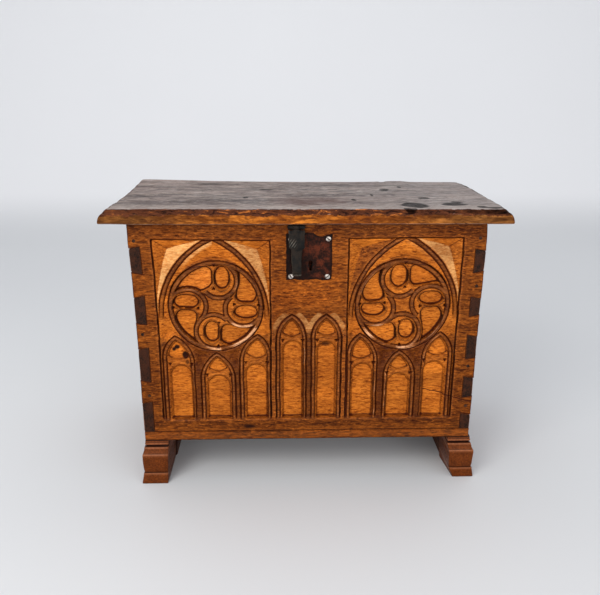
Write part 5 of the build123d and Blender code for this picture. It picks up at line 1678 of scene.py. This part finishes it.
def knuckle():
    """Barrel round the pin."""
    x0, x1, r0, r1, m = KNUCKLE_X0, KNUCKLE_X1, KNUCKLE_IN, KNUCKLE_OUT, HASP_M
    section = [(r0, x0 + 0.15), (r0 + 0.2, x0), (r1 - 0.35, x0), (r1, x0 + 0.35),
               (r1, x1 - 0.35), (r1 - 0.35, x1), (r0 + 0.2, x1), (r0, x1 - 0.15)]
    V, F, k = [], [], len(section)
    for j, (r, x) in enumerate(section):
        for i in range(m):
            a = 2 * math.pi * i / m
            V.append((x, PIN_Y + r * math.cos(a), PIN_Z + r * math.sin(a)))
            here, there, following = j * m, ((j + 1) % k) * m, (i + 1) % m
            F.append([here + i, here + following, there + following, there + i])
    return np.array(V), F


def outward(V, F):
    """The shell with its faces turned outward."""
    volume = sum(np.dot(V[f[0]], np.cross(V[f[i]], V[f[i + 1]]))
                 for f in F for i in range(1, len(f) - 1))
    return V, [f[::-1] for f in F] if volume < 0 else F


def build_hasp():
    rows = [(STRAP_Y + row[0], *row[1:]) for row in STRAP]
    stations = []
    for a, b in zip(rows[:-1], rows[1:]):
        k = max(1, int(abs(b[1] - a[1]) / 1.6))
        stations += [tuple(p + (q - p) * (i / k) for p, q in zip(a, b)) for i in range(k)]
    stations.append(rows[-1])
    strap, strap_faces = loft(stations)
    x, y, z = strap.T
    dents = 0.16 * noise(x, z, 5, 6, 161) + 0.06 * noise(x, z, 1.8, 2, 162)
    y += np.where(y < STRAP_Y, dents, 0)
    x += 0.25 * noise1(z, 7, 163)
    neck, neck_faces = loft([(STRAP_Y, nz, 0, KNUCKLE_X0 + short, KNUCKLE_X1 - short, t)
                             for nz, short, t in NECK])
    # the neck starts below the pin hole
    top = PIN_Z - 2.2
    neck[:, 2] = np.where(neck[:, 2] > top, top - 0.05 * (NECK[0][0] - neck[:, 2]), neck[:, 2])
    V, F = join([outward(strap, strap_faces), outward(*knuckle()), outward(neck, neck_faces)])
    # painted highlights on the long edges and the tip of the strap's front
    half = np.interp(-z, [-352.0, -350.5, -312], [10.9, 7.9, 5.6])
    bright = ease(0.86, 1.0, np.abs(x + 17.2) / half) * 0.5 + ease(320, 316, z) * 0.8
    edge = pad(unit(bright) * (y < STRAP_Y), len(V))
    c, s = math.cos(-REST_ANGLE), math.sin(-REST_ANGLE)
    dy, dz = V[:, 1] - PIN_Y, V[:, 2] - PIN_Z
    V = np.stack([V[:, 0], PIN_Y + c * dy - s * dz, PIN_Z + s * dy + c * dz], 1)
    make("hasp_forging", V, F, "hasp", HASP, dict(edge=edge), "hasp_strap", angle=45)


build_hasp()

# ================================================================ backdrop, light, camera (m)
scene = bpy.context.scene


def build_backdrop():
    """Paper floor with a quarter-round sweep up to a wall."""
    flat_y, sweep_r, half_width = 1.5, 1.0, 4.5
    section = [(-2.6, 0.0), (flat_y, 0.0)]
    for i in range(1, 13):
        a = math.pi / 2 * i / 12
        section.append((flat_y + sweep_r * math.sin(a), sweep_r - sweep_r * math.cos(a)))
    section.append((flat_y + sweep_r, 4.0))
    V = [(x, y, z) for y, z in section for x in (-half_width, half_width)]
    F = [(2 * i, 2 * i + 1, 2 * i + 3, 2 * i + 2) for i in range(len(section) - 1)]
    mesh = bpy.data.meshes.new("backdrop")
    mesh.from_pydata(V, [], F)
    mesh.polygons.foreach_set("use_smooth", np.ones(len(mesh.polygons), bool))
    n = Shader("paper")
    wash = n.noise(1.5, detail=2, rough=0.5)
    # one paper, painted darker on the floor and lighter on the wall: painted shade and light
    floor = n.mix(wash, (0.70, 0.71, 0.72, 1), (0.73, 0.74, 0.745, 1))
    wall = n.mix(wash, (0.90, 0.90, 0.905, 1), (0.93, 0.93, 0.935, 1))
    paper = n.mix(n.ramp(n.position()[2], -0.01, 0.12), floor, wall)
    mesh.materials.append(n.finish(paper, rough=0.9, metal=0, spec=0.2))
    n.bump(n.noise(900, detail=2, rough=0.5), strength=0.04, distance=0.0004)
    backdrop = bpy.data.objects.new("backdrop", mesh)
    scene.collection.objects.link(backdrop)


build_backdrop()

world = bpy.data.worlds.new("studio")
world.use_nodes = True
background = world.node_tree.nodes["Background"]
background.inputs["Color"].default_value = (0.93, 0.95, 1.0, 1)
background.inputs["Strength"].default_value = 0.68
scene.world = world


def area_light(name, place, aim, size, power, colour):
    light = bpy.data.lights.new(name, "AREA")
    light.shape = "RECTANGLE"
    light.size, light.size_y = size
    light.energy, light.color = power, colour
    ob = bpy.data.objects.new(name, light)
    ob.location = place
    ob.rotation_euler = (Vector(aim) - Vector(place)).to_track_quat("-Z", "Y").to_euler()
    scene.collection.objects.link(ob)


area_light("key", place=(-1.05, -1.5, 1.5), aim=(0, 0, 0.2), size=(1.0, 0.9), power=19,
           colour=(1.0, 0.985, 0.96))
area_light("fill", place=(1.6, -1.9, 0.9), aim=(0, 0, 0.2), size=(1.4, 1.2), power=5,
           colour=(0.97, 0.98, 1.0))
area_light("low", place=(0.1, -2.1, 0.50), aim=(0, 0, 0.05), size=(2.8, 0.7), power=18,
           colour=(1.0, 1.0, 1.0))
area_light("top", place=(0.1, 0.9, 2.4), aim=(0, 0.05, 0.2), size=(2.4, 1.6), power=6,
           colour=(0.97, 0.98, 1.0))


def build_camera():
    yaw, pitch, roll = 0.0331, 0.3056, -0.0046       # radians; pitch is downward
    place = np.array([-41.06 + ORIGIN_X, -995.28 + ORIGIN_Y, 553.29]) / 1000
    forward = np.array([math.sin(yaw) * math.cos(pitch), math.cos(yaw) * math.cos(pitch),
                        -math.sin(pitch)])
    level = np.array([math.cos(yaw), -math.sin(yaw), 0.0])
    under = np.cross(forward, level)
    right = math.cos(roll) * level + math.sin(roll) * under
    down = -math.sin(roll) * level + math.cos(roll) * under
    camera = bpy.data.cameras.new("camera")
    camera.sensor_fit = "HORIZONTAL"
    camera.sensor_width = 36.0
    camera.lens = 39.92
    camera.clip_start, camera.clip_end = 0.01, 30
    ob = bpy.data.objects.new("camera", camera)
    matrix = Matrix.Identity(4)
    for i in range(3):
        matrix[i][:] = right[i], -down[i], -forward[i], place[i]
    ob.matrix_world = matrix
    scene.collection.objects.link(ob)
    scene.camera = ob


build_camera()
scene.view_settings.view_transform = "Standard"
scene.view_settings.look = "None"
